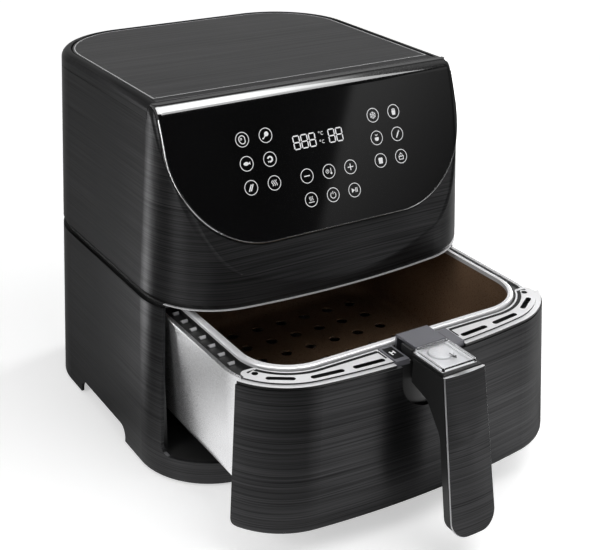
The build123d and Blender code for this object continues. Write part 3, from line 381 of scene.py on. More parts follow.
def lay(name, polygons, node, body, origin, material, lift, across=X_AXIS, up=Y_AXIS, inward=-Z_AXIS):
    """Lays flat polygons on a node, so that every corner touches it, and lets them ride on a body."""
    tree = surface_of(node)
    mesh = bmesh.new()
    reach = 0.03
    for polygon in polygons:
        corners = []
        for x, y in polygon:
            start = origin + across * (x * MM) + up * (y * MM) - inward * reach
            place, _, _, _ = tree.ray_cast(start, inward, 2 * reach)
            if place is None:
                raise RuntimeError(f"{name}: the point {x:.1f}, {y:.1f} misses {node}")
            corners.append(mesh.verts.new(place - inward * lift))
        face = mesh.faces.new(corners)
        face.normal_update()
        if face.normal.dot(inward) > 0:
            face.normal_flip()
    finished(name, mesh, body, material)


def skin(mesh, rows, closed):
    """Quads between rows of corners; a closed row also joins its last corner to its first."""
    for first, second in zip(rows, rows[1:]):
        for j in range(0 if closed else 1, len(first)):
            mesh.faces.new((first[j - 1], first[j], second[j], second[j - 1]))


def finished(name, mesh, body, material, smooth=False):
    """Turns a bmesh into an object that rides on a body."""
    data = bpy.data.meshes.new(name)
    mesh.to_mesh(data)
    mesh.free()
    if smooth:
        data.shade_smooth()
    data.materials.append(material)
    piece = bpy.data.objects.new(name, data)
    bpy.context.scene.collection.objects.link(piece)
    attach(piece, body)
    return piece


# Shader parts

def new_group(name, inputs, outputs):
    """Empty shader node group with the given sockets, and its input and output nodes."""
    tree = bpy.data.node_groups.new(name, "ShaderNodeTree")
    for label, kind, value in inputs:
        socket = tree.interface.new_socket(label, in_out="INPUT", socket_type=kind)
        socket.default_value = value
    for label in outputs:
        tree.interface.new_socket(label, in_out="OUTPUT", socket_type="NodeSocketFloat")
    return tree, tree.nodes.new("NodeGroupInput"), tree.nodes.new("NodeGroupOutput")


def feed(tree, node, values):
    """Gives a node's inputs links from other sockets, or plain values."""
    for name, value in values.items():
        if isinstance(value, bpy.types.NodeSocket):
            tree.links.new(value, node.inputs[name])
        else:
            node.inputs[name].default_value = value


def new_node(tree, kind, inputs, **settings):
    """Outputs of a new shader node with its settings, such as its operation, and its inputs."""
    node = tree.nodes.new("ShaderNode" + kind)
    for name, value in settings.items():
        setattr(node, name, value)
    feed(tree, node, inputs)
    return node.outputs


def noise(tree, vector, scale, detail, roughness):
    """Noise texture over a vector."""
    inputs = {"Vector": vector, "Scale": scale, "Detail": detail, "Roughness": roughness}
    return new_node(tree, "TexNoise", inputs)["Fac"]


def ranged(tree, value, low, high, to_low=0, to_high=1):
    """Value moved from one range to another, clamped."""
    inputs = {"Value": value, "From Min": low, "From Max": high, "To Min": to_low, "To Max": to_high}
    return new_node(tree, "MapRange", inputs)["Result"]


def combined(tree, operation, *values):
    """Result of plain arithmetic on one or two values."""
    return new_node(tree, "Math", dict(enumerate(values)), operation=operation)["Value"]


def added(tree, first, second):
    return combined(tree, "ADD", first, second)


def multiplied(tree, first, second):
    return combined(tree, "MULTIPLY", first, second)


def vector_math(tree, operation, *vectors):
    """Outputs of arithmetic on one or two vectors."""
    return new_node(tree, "VectorMath", dict(enumerate(vectors)), operation=operation)


def blended(tree, value, first, second):
    """Colour between two, by a value from 0 to 1."""
    return new_node(tree, "Mix", {"Factor": value, "A": first, "B": second}, data_type="RGBA")["Result"]


def place_of(tree, kind="Object"):
    """Socket of a point's place in metres, or of a direction in the world."""
    return new_node(tree, "TexCoord", {})[kind]


def axes(tree, vector):
    """Sockets of a vector's X, Y and Z."""
    split = new_node(tree, "SeparateXYZ", {"Vector": vector})
    return split["X"], split["Y"], split["Z"]


def facing(tree, direction):
    """How far a face looks in a direction, from -1 to 1."""
    normal = new_node(tree, "NewGeometry", {})["True Normal"]
    return vector_math(tree, "DOT_PRODUCT", normal, direction)["Value"]


def brush_group(name):
    """Fine lines drawn out along a surface, and a slow change of tone."""
    tree, given, made = new_group(name, [("Stretch", "NodeSocketVector", (12, 12, 900))], ["Streak", "Tone"])
    place = place_of(tree)
    drawn = vector_math(tree, "MULTIPLY", place, given.outputs["Stretch"])["Vector"]
    streak = ranged(tree, noise(tree, drawn, 1.0, 3.0, 0.6), 0.28, 0.72)
    tone = ranged(tree, noise(tree, place, 9.0, 2.0, 0.5), 0.3, 0.7)
    feed(tree, made, {"Streak": streak, "Tone": tone})
    return tree


def grain_group(name):
    """Fine even grain with a slow change of tone, for moulded, painted and cast surfaces."""
    tree, given, made = new_group(name, [("Size", "NodeSocketFloat", 1500.0)], ["Grain", "Tone"])
    place = place_of(tree)
    fine = ranged(tree, noise(tree, place, given.outputs["Size"], 2.0, 0.5), 0.3, 0.7)
    tone = ranged(tree, noise(tree, place, 14.0, 3.0, 0.55), 0.3, 0.7)
    feed(tree, made, {"Grain": fine, "Tone": tone})
    return tree


def use_group(tree, name, make, **inputs):
    """Outputs of a shared group in a tree; the group is made at its first use."""
    return new_node(tree, "Group", inputs, node_tree=bpy.data.node_groups.get(name) or make(name))


def new_material(name):
    """Material with only a shader and an output, and its tree and shader."""
    material = bpy.data.materials.new(name)
    material.use_nodes = True
    tree = material.node_tree
    return material, tree, tree.nodes["Principled BSDF"]


def plain(colour):
    """Colour with a full alpha."""
    return (*colour, 1)


def bump(tree, height, depth, strength):
    """Normal of a small relief, with its depth in metres."""
    return new_node(tree, "Bump", {"Height": height, "Distance": depth, "Strength": strength})["Normal"]


def brushed(name, dark, light, stretch, roughness, metallic, anisotropic=0.0):
    """Brushed sheet: its streaks change colour and relief, and a slow change of tone its gloss."""
    material, tree, shader = new_material(name)
    lines = use_group(tree, "Brush lines", brush_group, Stretch=stretch)
    feed(tree, shader, {
        "Base Color": blended(tree, lines["Streak"], plain(dark), plain(light)),
        "Roughness": ranged(tree, lines["Tone"], 0, 1, roughness - 0.05, roughness + 0.05),
        "Metallic": metallic,
        "Specular Tint": (EDGE_TINT, EDGE_TINT, EDGE_TINT, 1),
        "Normal": bump(tree, lines["Streak"], 0.00005, 0.5),
    })
    if anisotropic:
        tangent = new_node(tree, "Tangent", {}, direction_type="RADIAL", axis="Z")["Tangent"]
        feed(tree, shader, {"Anisotropic": anisotropic, "Anisotropic Rotation": 0.25, "Tangent": tangent})
    return material


def casing_sheet(name, look):
    """Brushed sheet of the casing, with streaks that run level all round."""
    dark, light = look.casing_dark, look.casing_light
    return brushed(name, dark, light, (7, 7, 1000), look.casing_roughness, 0.9, anisotropic=0.85)


def moulded(name, colour, spread, size, roughness, metallic=0.0, relief=0.15, specular=0.5):
    """Even surface whose colour and gloss drift by a little, with a fine grain."""
    material, tree, shader = new_material(name)
    speckle = use_group(tree, "Grain", grain_group, Size=size)
    dark = plain(c * (1 - spread) for c in colour)
    light = plain(min(1.0, c * (1 + spread)) for c in colour)
    low, high = max(0.02, roughness - 0.06), roughness + 0.06
    feed(tree, shader, {
        "Base Color": blended(tree, speckle["Tone"], dark, light),
        "Roughness": ranged(tree, speckle["Grain"], 0, 1, low, high),
        "Metallic": metallic,
        "Specular IOR Level": specular,
        "Normal": bump(tree, speckle["Grain"], 0.00003, relief),
    })
    return material


def lit(name, colour, strength):
    """Pale mark that glows a little by itself; the glow is painted light that keeps it bright."""
    material = moulded(name, colour, 0.06, 900.0, 0.5, relief=0.0)
    tree = material.node_tree
    shader = tree.nodes["Principled BSDF"]
    source = shader.inputs["Base Color"].links[0].from_socket
    feed(tree, shader, {"Emission Color": source, "Emission Strength": strength})
    return material


def repaint(material, mask, colour):
    """Paints a plain colour over a material's own, where a mask is 1."""
    tree = material.node_tree
    base = tree.nodes["Principled BSDF"].inputs["Base Color"]
    tree.links.new(blended(tree, mask, base.links[0].from_socket, plain(colour)), base)


def repaint_below(material, axis, edge, colour):
    """Paints a plain colour over what lies below a place along an axis."""
    tree = material.node_tree
    value = axes(tree, place_of(tree))[axis]
    repaint(material, ranged(tree, value, edge - CHANGE, edge + CHANGE, 1, 0), colour)


def paint(material, *nodes):
    """Gives CAD nodes a material."""
    for node in nodes:
        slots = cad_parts[node].data.materials
        slots.clear()
        slots.append(material)


# Settings

FACTOR = {"subtype": "FACTOR", "max": 1}
LENGTH = {"subtype": "DISTANCE", "unit": "LENGTH", "precision": 5}
ANGLE = {"subtype": "ANGLE", "unit": "ROTATION"}
POWER = {"subtype": "POWER", "unit": "POWER", "min": 0}


def colour_setting(label, about, default):
    return bpy.props.FloatVectorProperty(
        name=label, description=about, subtype="COLOR", default=default, min=0, max=1,
    )


def number_setting(label, about, default, **kind):
    return bpy.props.FloatProperty(name=label, description=about, default=default, **kind)


class FinishSettings(bpy.types.PropertyGroup):
    """Colours and gloss of the object's surfaces."""

    casing_dark: colour_setting(
        "Casing dark", "Darkest streak of the brushed casing", (0.012, 0.012, 0.0124),
    )
    casing_light: colour_setting(
        "Casing light", "Lightest streak of the brushed casing", (0.050, 0.050, 0.0515),
    )
    casing_roughness: number_setting(
        "Casing roughness", "Roughness of the brushed casing", 0.36, min=0, **FACTOR,
    )
    top_dark: colour_setting("Top plate dark", "Darkest streak of the top plate", (0.030, 0.030, 0.031))
    top_light: colour_setting("Top plate light", "Lightest streak of the top plate", (0.125, 0.125, 0.127))
    fascia: colour_setting("Fascia", "Colour of the glossy fascia", (0.0018, 0.0018, 0.002))
    plastic: colour_setting("Plastic", "Colour of the black mouldings", (0.012, 0.012, 0.012))
    pan: colour_setting("Pan", "Colour of the satin steel pan", (0.72, 0.72, 0.73))
    silver: colour_setting(
        "Silver trim", "Colour of the trim strips and the basket's rim", (0.72, 0.72, 0.73),
    )
    bright: colour_setting(
        "Bright silver", "Colour of the button and the bezel under its guard", (0.88, 0.88, 0.89),
    )
    non_stick: colour_setting("Non-stick coat", "Colour of the basket's coat", (0.155, 0.098, 0.060))


class PanelSettings(bpy.types.PropertyGroup):
    """Sizes of the printed marks and of the lines and the bead, and the glow of the marks."""

    ring_radius: number_setting(
        "Ring radius", "Outer radius of the ring round a key, in millimetres", 5.75, min=2, max=9,
    )
    ring_width: number_setting(
        "Ring width", "Width of the ring's line, in millimetres", 0.55, min=0.2, max=2,
    )
    lift: number_setting(
        "Lift", "How far the print stands off its surface", 0.00006, min=0, max=0.001, **LENGTH,
    )
    edge_highlight_width: number_setting(
        "Bright line", "Width of the bright line round the top plate, in millimetres", 0.7, min=0.2, max=3,
    )
    gap_shade_width: number_setting(
        "Dark line", "Width of the dark line round the top plate, in millimetres", 1.0, min=0.2, max=3,
    )
    trim_groove_and_shade: number_setting(
        "Trim line", "Width of the dark line on the drawer's trims, in millimetres", 3.0, min=0.5, max=4,
    )
    bead_width: number_setting(
        "Bead width", "Width of the bead round the fascia", 0.0016, min=0.0002, max=0.01, **LENGTH,
    )
    bead_height: number_setting(
        "Bead height", "How far the bead stands off the fascia", 0.0006, min=0.0001, max=0.01, **LENGTH,
    )
    glow: number_setting("Glow", "Strength of the light that the marks give off", 0.4, min=0, max=5)


class SpringSettings(bpy.types.PropertyGroup):
    """Spring under the release button."""

    wire: number_setting("Wire", "Thickness of the spring's wire", 0.0008, min=0.0002, max=0.002, **LENGTH)
    turns: bpy.props.IntProperty(name="Turns", description="Turns of the wire", default=5, min=2, max=12)
    steps: bpy.props.IntProperty(
        name="Steps", description="Straight steps in one turn", default=28, min=8, max=64,
    )
    pressed: number_setting(
        "Pressed", "Share of its length that the spring keeps when pressed", 0.66, min=0.1, **FACTOR,
    )


class StageSettings(bpy.types.PropertyGroup):
    """Camera and studio."""

    azimuth: number_setting("Azimuth", "Camera's turn round the object", math.radians(-32.32), **ANGLE)
    elevation: number_setting("Elevation", "Camera's angle over the horizon", math.radians(25.65), **ANGLE)
    roll: number_setting("Roll", "Camera's turn about its own axis", math.radians(0.76), **ANGLE)
    distance: number_setting("Distance", "From the camera to its target", 1.0205, min=0.1, **LENGTH)
    target: bpy.props.FloatVectorProperty(
        name="Target", description="Point that the camera looks at", subtype="TRANSLATION", unit="LENGTH",
        default=(0.0240, -0.0320, 0.1084),
    )
    lens: number_setting(
        "Lens", "Focal length in millimetres on a sensor 36 millimetres wide", 68.83, min=10,
    )
    ambient: number_setting("Ambient", "Level of the even light from all round", 0.40, min=0, max=2)
    key_power: number_setting("Overhead power", "Power of the softbox overhead", 6.0, **POWER)
    side_power: number_setting("Side power", "Power of the softbox on the right", 10.0, **POWER)


# Operators

class AIRFRYER_OT_casing(bpy.types.Operator):
    """Give the casing, the fascia and the feet their finish"""

    bl_idname = "airfryer.casing"
    bl_label = "Casing"

    def execute(self, context):
        look = context.scene.airfryer_finish
        casing = casing_sheet("brushed_casing", look)
        # Black below HEAD_LIP, a dark band along the head's lower edge
        repaint_below(casing, 2, HEAD_LIP, look.plastic)
        paint(casing, "upper_shell", "top_cover")
        paint(casing_sheet("brushed_front", look), "lower_shell", "drawer_front")
        top = brushed("brushed_top", look.top_dark, look.top_light, (6, 800, 6), 0.34, 0.85)
        repaint_below(top, 1, PLATE_FRONT, look.casing_light)
        paint(top, "top_panel")
        fascia = moulded("gloss_fascia", look.fascia, 0.3, 700.0, 0.12, relief=0.02, specular=0.45)
        tree = fascia.node_tree
        _, _, height = axes(tree, place_of(tree))
        coat = ranged(tree, height, CROWN_TOP - 4 * CHANGE, CROWN_TOP - CHANGE, 1, 0)
        shader = tree.nodes["Principled BSDF"]
        feed(tree, shader, {"Coat Weight": coat, "Coat IOR": 2.0, "Coat Roughness": 0.04})
        paint(fascia, "control_panel")
        plastic = moulded("black_moulding", look.plastic, 0.25, 2600.0, 0.42, relief=0.25)
        paint(
            plastic, "seam_band", "cord_gland", "base_plate", "bay_liner", "bay_floor", "drawer_rails",
            "drawer_sensor", "air_outlet_grille", "display_module",
        )
        paint(moulded("rubber_foot", (0.02, 0.02, 0.02), 0.2, 1800.0, 0.78, relief=0.3), "rubber_feet")
        return {"FINISHED"}


class AIRFRYER_OT_drawer(bpy.types.Operator):
    """Give the pan, the trim, the basket and the handle their finish"""

    bl_idname = "airfryer.drawer"
    bl_label = "Drawer and basket"

    def execute(self, context):
        look = context.scene.airfryer_finish
        paint(moulded("satin_pan", look.pan, 0.06, 2600.0, 0.28, metallic=0.9, relief=0.35), "drawer_pan")
        silver = moulded("satin_silver", look.silver, 0.05, 2200.0, 0.34, metallic=0.35, relief=0.08)
        paint(silver, "basket_rim", "front_edge_strip")
        walled_silver = moulded("silver_with_shaded_walls", look.silver, 0.05, 2200.0, 0.34, metallic=0.35, relief=0.08)
        # The trims' walls are painted black, as painted shade in their slots and along their steps
        self.shade_trim_walls(walled_silver, look.plastic)
        paint(walled_silver, "trim_left", "trim_right")
        bright = moulded("bright_silver", look.bright, 0.04, 2200.0, 0.3, metallic=0.2, relief=0.05)
        paint(bright, "release_button")
        bezel = moulded("bezel_silver", look.bright, 0.04, 2200.0, 0.3, metallic=0.2, relief=0.05)
        self.blacken_border(bezel, look.plastic)
        paint(bezel, "handle_bezel")
        cover = casing_sheet("brushed_cover", look)
        # Painted highlights on the cover's bevels and top
        self.paint_cover_highlights(cover, (0.5, 0.5, 0.51))
        paint(cover, "handle_cover")
        paint(moulded("non_stick_coat", look.non_stick, 0.3, 1100.0, 0.3, metallic=0.2, relief=0.3), "basket")
        black = moulded("black_grip", look.plastic, 0.25, 2400.0, 0.36, relief=0.2)
        paint(black, "handle_recess", "handle_core", "latch_lever")
        ramped = moulded("black_frame", look.plastic, 0.25, 2400.0, 0.36, relief=0.2)
        # Painted highlight on the frame's small ramps
        self.paint_ramp_glints(ramped, (0.45, 0.45, 0.46))
        paint(ramped, "drawer_frame")
        grey = moulded("grey_metal", (0.13, 0.13, 0.145), 0.12, 1900.0, 0.42, metallic=0.5)
        paint(grey, "handle_dock", "handle_bracket")
        zinc = moulded("bright_zinc", (0.62, 0.62, 0.63), 0.12, 800.0, 0.28, metallic=1.0)
        paint(zinc, "front_screws", "bracket_rivets", "latch_pin", "button_spring")
        magnet = moulded("sintered_magnet", (0.06, 0.06, 0.065), 0.25, 1500.0, 0.5, metallic=0.8)
        paint(magnet, "sensor_magnet")
        paint(self.clear_plastic(), "button_guard")
        return {"FINISHED"}

    def clear_plastic(self):
        """Clear moulding whose tint and gloss drift by a little."""
        clear, tree, shader = new_material("clear_guard")
        tone = use_group(tree, "Grain", grain_group)["Tone"]
        feed(tree, shader, {
            "Base Color": blended(tree, tone, (0.94, 0.95, 0.96, 1), (0.99, 0.99, 1.0, 1)),
            "Roughness": ranged(tree, tone, 0, 1, 0.03, 0.09),
            "Transmission Weight": 1.0,
            "IOR": 1.49,
        })
        return clear

    def shade_trim_walls(self, material, colour):
        """Paints every face that doesn't look up black, leaving only the upper faces silver: painted shade in
        the slots and along the steps.
        """
        tree = material.node_tree
        walls = ranged(tree, facing(tree, Z_AXIS), 0.4, 0.6, 1, 0)
        repaint(material, walls, colour)

    def paint_ramp_glints(self, material, colour):
        """Paints the small ramps on the frame's sides pale, by their place and height: a painted highlight.
        """
        tree = material.node_tree
        x, _, z = axes(tree, place_of(tree))
        beside = ranged(tree, combined(tree, "ABSOLUTE", x), *PAINTED_GLINT_ACROSS)
        raised = ranged(tree, z, *PAINTED_GLINT_UP)
        repaint(material, multiplied(tree, beside, raised), colour)

    def blacken_border(self, material, colour):
        """Keeps the bezel bright only under the guard."""
        tree = material.node_tree
        low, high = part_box("button_guard")
        x, y, _ = axes(tree, place_of(tree))
        across = ranged(tree, combined(tree, "ABSOLUTE", x), high.x - BORDER, high.x, 1, 0)
        along = ranged(tree, y, low.y, low.y + BORDER)
        under = multiplied(tree, across, along)
        repaint(material, ranged(tree, under, 0, 1, 1, 0), colour)

    def paint_cover_highlights(self, material, colour):
        """Painted highlights: the bevels round the front of the handle's cover, and its top, painted light
        grey by the way they face.
        """
        tree = material.node_tree
        front = facing(tree, HANDLE_FRONT)
        bevel = multiplied(tree, ranged(tree, front, 0.3, 0.4), ranged(tree, front, 0.86, 0.92, 1, 0))
        repaint(material, bevel, colour)
        repaint(material, ranged(tree, facing(tree, Z_AXIS), 0.8, 0.9), colour)


class AIRFRYER_OT_works(bpy.types.Operator):
    """Give the heater, the fan, the motor and the boards their finish"""

    bl_idname = "airfryer.works"
    bl_label = "Works"

    def execute(self, context):
        sheet = brushed("mill_sheet", (0.42, 0.42, 0.43), (0.62, 0.62, 0.63), (30, 400, 400), 0.4, 1.0)
        paint(sheet, "head_plate", "chamber_dome", "heat_shield", "motor_bracket", "exhaust_duct")
        paint(sheet, "convection_fan")
        zinc = bpy.data.materials["bright_zinc"]
        paint(zinc, "base_screws", "element_guard", "temperature_sensor", "motor_screws", "motor_shaft")
        heater = moulded("heat_darkened", (0.10, 0.085, 0.075), 0.35, 900.0, 0.45, metallic=0.8, relief=0.3)
        paint(heater, "heating_element")
        paint(moulded("motor_paint", (0.16, 0.165, 0.17), 0.15, 1500.0, 0.45, metallic=0.4), "motor")
        board = moulded("lacquered_board", (0.02, 0.09, 0.035), 0.25, 1200.0, 0.32)
        paint(board, "control_board", "power_board")
        plastic = bpy.data.materials["black_moulding"]
        paint(plastic, "thermal_cutout", "board_tray", "cooling_fan")
        return {"FINISHED"}


def key_marks():
    """Every key: its place across and up the face, and its pictogram."""
    left = (cut_mark, leg_mark, fish_mark, curl_mark, strip_mark, heat_mark)
    right = (frost_mark, cup_mark, root_mark, stalk_mark, loaf_mark, cake_mark)
    middle = (less_mark, clock_mark, more_mark, warm_mark, power_mark, play_mark)
    keys = []
    for shift, marks in ((-GROUP_SHIFT, left), (GROUP_SHIFT, right)):
        for i, mark in enumerate(marks):
            x = KEY_MIDDLE + shift + (i % 2 - 0.5) * KEY_PITCH
            keys.append((x, KEY_ROWS[i // 2], mark))
    for i, mark in enumerate(middle):
        keys.append((KEY_MIDDLE + (i % 3 - 1) * KEY_PITCH, KEY_ROWS[2 + i // 3], mark))
    return keys


class AIRFRYER_OT_panel_marks(bpy.types.Operator):
    """Print the keys and the display's digits on the fascia"""

    bl_idname = "airfryer.panel_marks"
    bl_label = "Panel marks"

    def execute(self, context):
        size = context.scene.airfryer_panel
        # The keys, the digits and the dock's lock mark glow a little, as painted light
        ink = lit("panel_ink", (0.62, 0.62, 0.63), size.glow)
        keys = []
        for x, y, mark in key_marks():
            keys += ring(x, y, size.ring_radius, size.ring_width)
            keys += moved(mark(), x, y)
        digits = []
        for start, count, rise in DIGIT_STARTS:
            for i in range(count):
                digits += segment_digit(start + DIGIT_PITCH * i, DIGIT_LOW + rise)
        for low in DEGREE_ROWS:
            digits += ring(-3.6, low + 2.6, 0.7, 0.35, 14)
            digits += ribbon(arc(-0.8, low + 1.6, 1.2, 50, 310, 10), 0.4)
        for name, polygons in (("panel_keys", keys), ("panel_digits", digits)):
            lay(
                name, polygons, "control_panel", "housing", FACE_FOOT, ink, size.lift,
                up=FACE_UP, inward=FACE_INWARD,
            )
        return {"FINISHED"}


def plate_outline(inset):
    """Points round the top plate, drawn in from its edge, with a straight front, in millimetres."""
    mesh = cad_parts["top_panel"].data
    high = max(v.co.z for v in mesh.vertices)
    upper = [v.co / MM for v in mesh.vertices if v.co.z > high - 0.00001]
    edge = {(round(place.x, 2), round(place.y, 2)) for place in upper}
    rim = [Vector(point) for point in sorted(edge, key=lambda p: math.atan2(p[0], p[1] - 40))]
    drawn = []
    for i, point in enumerate(rim):
        along = (rim[(i + 1) % len(rim)] - rim[i - 1]).normalized()
        place = point + Vector((along.y, -along.x)) * inset
        if place.y > PLATE_FRONT / MM + 2:
            drawn.append(tuple(place))
    left, right = drawn[0], drawn[-1]
    front = PLATE_FRONT / MM + inset - EDGE_HIGHLIGHT_INSET
    return [(left[0], front)] + drawn + [(right[0], front)]


class AIRFRYER_OT_top_lines(bpy.types.Operator):
    """Lay a painted highlight along the top plate's edge and a dark line of painted shade for the gap round
    it
    """

    bl_idname = "airfryer.top_lines"
    bl_label = "Top lines"

    def execute(self, context):
        size = context.scene.airfryer_panel
        silver = bpy.data.materials["satin_silver"]
        black = bpy.data.materials["black_moulding"]
        start = Vector((0, 0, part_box("top_panel")[1].z))
        lines = (
            ("top_edge_highlight", EDGE_HIGHLIGHT_INSET, size.edge_highlight_width, silver, "silver"),
            ("top_gap_shade", GAP_SHADE_INSET, size.gap_shade_width, black, "black_plastic"),
        )
        for name, inset, width, material, slot in lines:
            strip = ribbon(plate_outline(inset), width, closed=True)
            lay(name, strip, "top_panel", "housing", start, material, size.lift)
        return {"FINISHED"}


def fascia_outline():
    """Points of the bead along the fascia's U-shaped edge, seen from the front, from left to right."""
    half = FASCIA_HALF_WIDTH - BEAD_INSET
    low = FASCIA_BOTTOM + BEAD_INSET
    bend = FASCIA_RADIUS - BEAD_INSET
    side_low = low + bend
    left = [(-half, FASCIA_TOP + (side_low - FASCIA_TOP) * i / 12) for i in range(12)]
    points = left + arc(bend - half, side_low, bend, 180, 270, 30)
    flat = [((half - bend) * (i / 6 - 1), low) for i in range(1, 12)]
    points += flat + arc(half - bend, side_low, bend, 270, 360, 30)
    return points + [(-x, z) for x, z in reversed(left)]


class AIRFRYER_OT_fascia_bead(bpy.types.Operator):
    """Run a thin bright bead round the fascia's edge"""

    bl_idname = "airfryer.fascia_bead"
    bl_label = "Fascia bead"

    def execute(self, context):
        size = context.scene.airfryer_panel
        path = self.path_on_fascia()
        mesh = bmesh.new()
        rows = []
        steps = 6
        turns = [math.pi * step / steps for step in range(steps + 1)]
        for i, (place, normal) in enumerate(path):
            before = path[max(0, i - 1)][0]
            after = path[min(len(path) - 1, i + 1)][0]
            along = (after - before).normalized()
            across = normal.cross(along).normalized()
            outward = along.cross(across).normalized()
            if outward.dot(normal) < 0:
                outward = -outward
            row = []
            for turn in turns:
                aside = across * math.cos(turn) * size.bead_width / 2
                row.append(mesh.verts.new(place + (aside + outward * math.sin(turn) * size.bead_height)))
            rows.append(row)
        skin(mesh, rows, closed=False)
        bmesh.ops.recalc_face_normals(mesh, faces=mesh.faces)
        chrome = moulded("bead_chrome", (0.66, 0.66, 0.67), 0.05, 900.0, 0.16, metallic=1.0, relief=0.02)
        finished("fascia_bead", mesh, "housing", chrome, smooth=True)
        return {"FINISHED"}

    def path_on_fascia(self):
        """Points on the fascia that the bead follows, each with the surface's direction there."""
        tree = surface_of("control_panel")
        path = []
        for x, z in fascia_outline():
            start = Vector((x * MM, -0.4, z * MM))
            place, normal, _, _ = tree.ray_cast(start, Y_AXIS, 1.0)
            if place is None:
                raise RuntimeError(f"fascia_bead: the point {x:.1f}, {z:.1f} misses the fascia")
            path.append((place, normal))
        return path


class AIRFRYER_OT_handle_marks(bpy.types.Operator):
    """Lay the window on the dock and the arrow on the guard"""

    bl_idname = "airfryer.handle_marks"
    bl_label = "Handle marks"

    def execute(self, context):
        size = context.scene.airfryer_panel
        ink = bpy.data.materials["panel_ink"]
        black = bpy.data.materials["black_grip"]
        pane = moulded("window_black", (0.003, 0.003, 0.003), 0.3, 1500.0, 0.6, relief=0.05, specular=0.1)
        low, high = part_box("handle_dock")
        middle = Vector((low.x + WINDOW_PLACE[0], (low.y + high.y) / 2 + WINDOW_PLACE[1], high.z))
        window = [rounded_box(4.3, 8.2, 1.0)]
        lay("dock_window", window, "handle_dock", "drawer", middle, pane, size.lift)
        lock = ribbon([(-1.6, -2.6), (-1.6, 2.6)], 1.2) + ribbon([(1.4, -1.2), (1.4, 2.6)], 1.1)
        lock += ribbon([(-1.0, 0.7), (0.85, 0.7)], 1.0)
        lay("dock_mark", lock, "handle_dock", "drawer", middle, ink, 2 * size.lift)
        low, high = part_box("button_guard")
        front = Vector(((low.x + high.x) / 2 + ARROW_PLACE[0], low.y + ARROW_PLACE[1], high.z))
        arrow = ribbon([(0, 5.0), (0, 0.2)], 1.1) + [[(-2.6, 0.2), (2.6, 0.2), (0, -3.4)]]
        lay("guard_arrow", arrow, "button_guard", "guard", front, black, size.lift)
        return {"FINISHED"}


class AIRFRYER_OT_trim_lines(bpy.types.Operator):
    """Lay a dark line along the inner edge of each trim, with a turn at either end: the trim's groove,
    widened and carried on by painted shade
    """

    bl_idname = "airfryer.trim_lines"
    bl_label = "Trim lines"

    def execute(self, context):
        size = context.scene.airfryer_panel
        black = bpy.data.materials["window_black"]
        low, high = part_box("basket_rim")
        bend = RIM_CORNER + TRIM_LINE_GAP
        middle_y = low.y / MM + RIM_CORNER
        line = [(TRIM_LINE_START, middle_y - bend)]
        line += arc(high.x / MM - RIM_CORNER, middle_y, bend, -90, TRIM_LINE_TURN, 24)
        x, y = line[0]
        turn = [(x, y), (x, y - DOCK_TURN)]
        x, y = line[-1]
        hook = [(x, y), (x + END_HOOK[0], y + END_HOOK[1])]
        thin = size.trim_groove_and_shade / 2
        strips = ribbon(line, size.trim_groove_and_shade) + ribbon(turn, thin) + ribbon(hook, HOOK_SHARE * thin)
        for side, name in ((-1, "left"), (1, "right")):
            start = Vector((0, 0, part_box(f"trim_{name}")[1].z))
            lay(
                f"trim_groove_and_shade_{name}", strips, f"trim_{name}", "drawer", start, black,
                size.lift, across=side * X_AXIS,
            )
        return {"FINISHED"}


class AIRFRYER_OT_spring_coil(bpy.types.Operator):
    """Wind the spring under the release button; the coil keeps its resting length"""

    bl_idname = "airfryer.spring_coil"
    bl_label = "Spring coil"

    def execute(self, context):
        size = context.scene.airfryer_spring
        low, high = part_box("button_spring")
        wire = size.wire / 2
        middle = (low + high) / 2
        radius = (high.x - low.x) / 2 - wire
        rise = high.z - low.z - 2 * wire
        count = size.turns * size.steps
        mesh = bmesh.new()
        rows = []
        for i in range(count + 1):
            turn = 2 * math.pi * i / size.steps
            outward = Vector((math.cos(turn), math.sin(turn), 0))
            height = low.z + wire + rise * self.climb(i / count, size.turns)
            centre = Vector((middle.x, middle.y, height)) + outward * radius
            row = []
            for j in range(8):
                a = 2 * math.pi * j / 8
                offset = outward * wire * math.cos(a) + Z_AXIS * wire * math.sin(a)
                row.append(mesh.verts.new(centre + offset))
            rows.append(row)
        skin(mesh, rows, closed=True)
        for row in (rows[0], rows[-1]):
            mesh.faces.new(row)
        bmesh.ops.recalc_face_normals(mesh, faces=mesh.faces)
        zinc = bpy.data.materials["bright_zinc"]
        coil = finished("spring_coil", mesh, "basket_unit", zinc, smooth=True)
        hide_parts("button_spring")
        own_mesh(coil)
        return {"FINISHED"}

    def climb(self, share, turns):
        """Height along the wire from 0 to 1, with a flat turn at each end."""
        flat = 0.8 / turns
        return min(1.0, max(0.0, (share - flat) / (1 - 2 * flat)))


class AIRFRYER_OT_screw_recesses(bpy.types.Operator):
    """Lay a dark cross on the head of every screw under the base: painted shade that stands for the shade in
    its cross recess
    """

    bl_idname = "airfryer.screw_recesses"
    bl_label = "Screw recesses"

    def execute(self, context):
        size = context.scene.airfryer_panel
        black = bpy.data.materials["black_grip"]
        low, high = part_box("base_screws")
        inset = SCREW_RADIUS * MM
        cross = ribbon([(-1.9, 0), (1.9, 0)], 0.7) + ribbon([(0, 0.35), (0, 1.9)], 0.7)
        cross += ribbon([(0, -1.9), (0, -0.35)], 0.7)
        for i, x in enumerate((low.x + inset, high.x - inset)):
            for j, y in enumerate((low.y + inset, high.y - inset)):
                middle = Vector((x, y, low.z))
                lay(
                    f"screw_shade_cross_{i}_{j}", cross, "base_screws", "housing", middle, black,
                    size.lift, inward=Z_AXIS,
                )
        return {"FINISHED"}


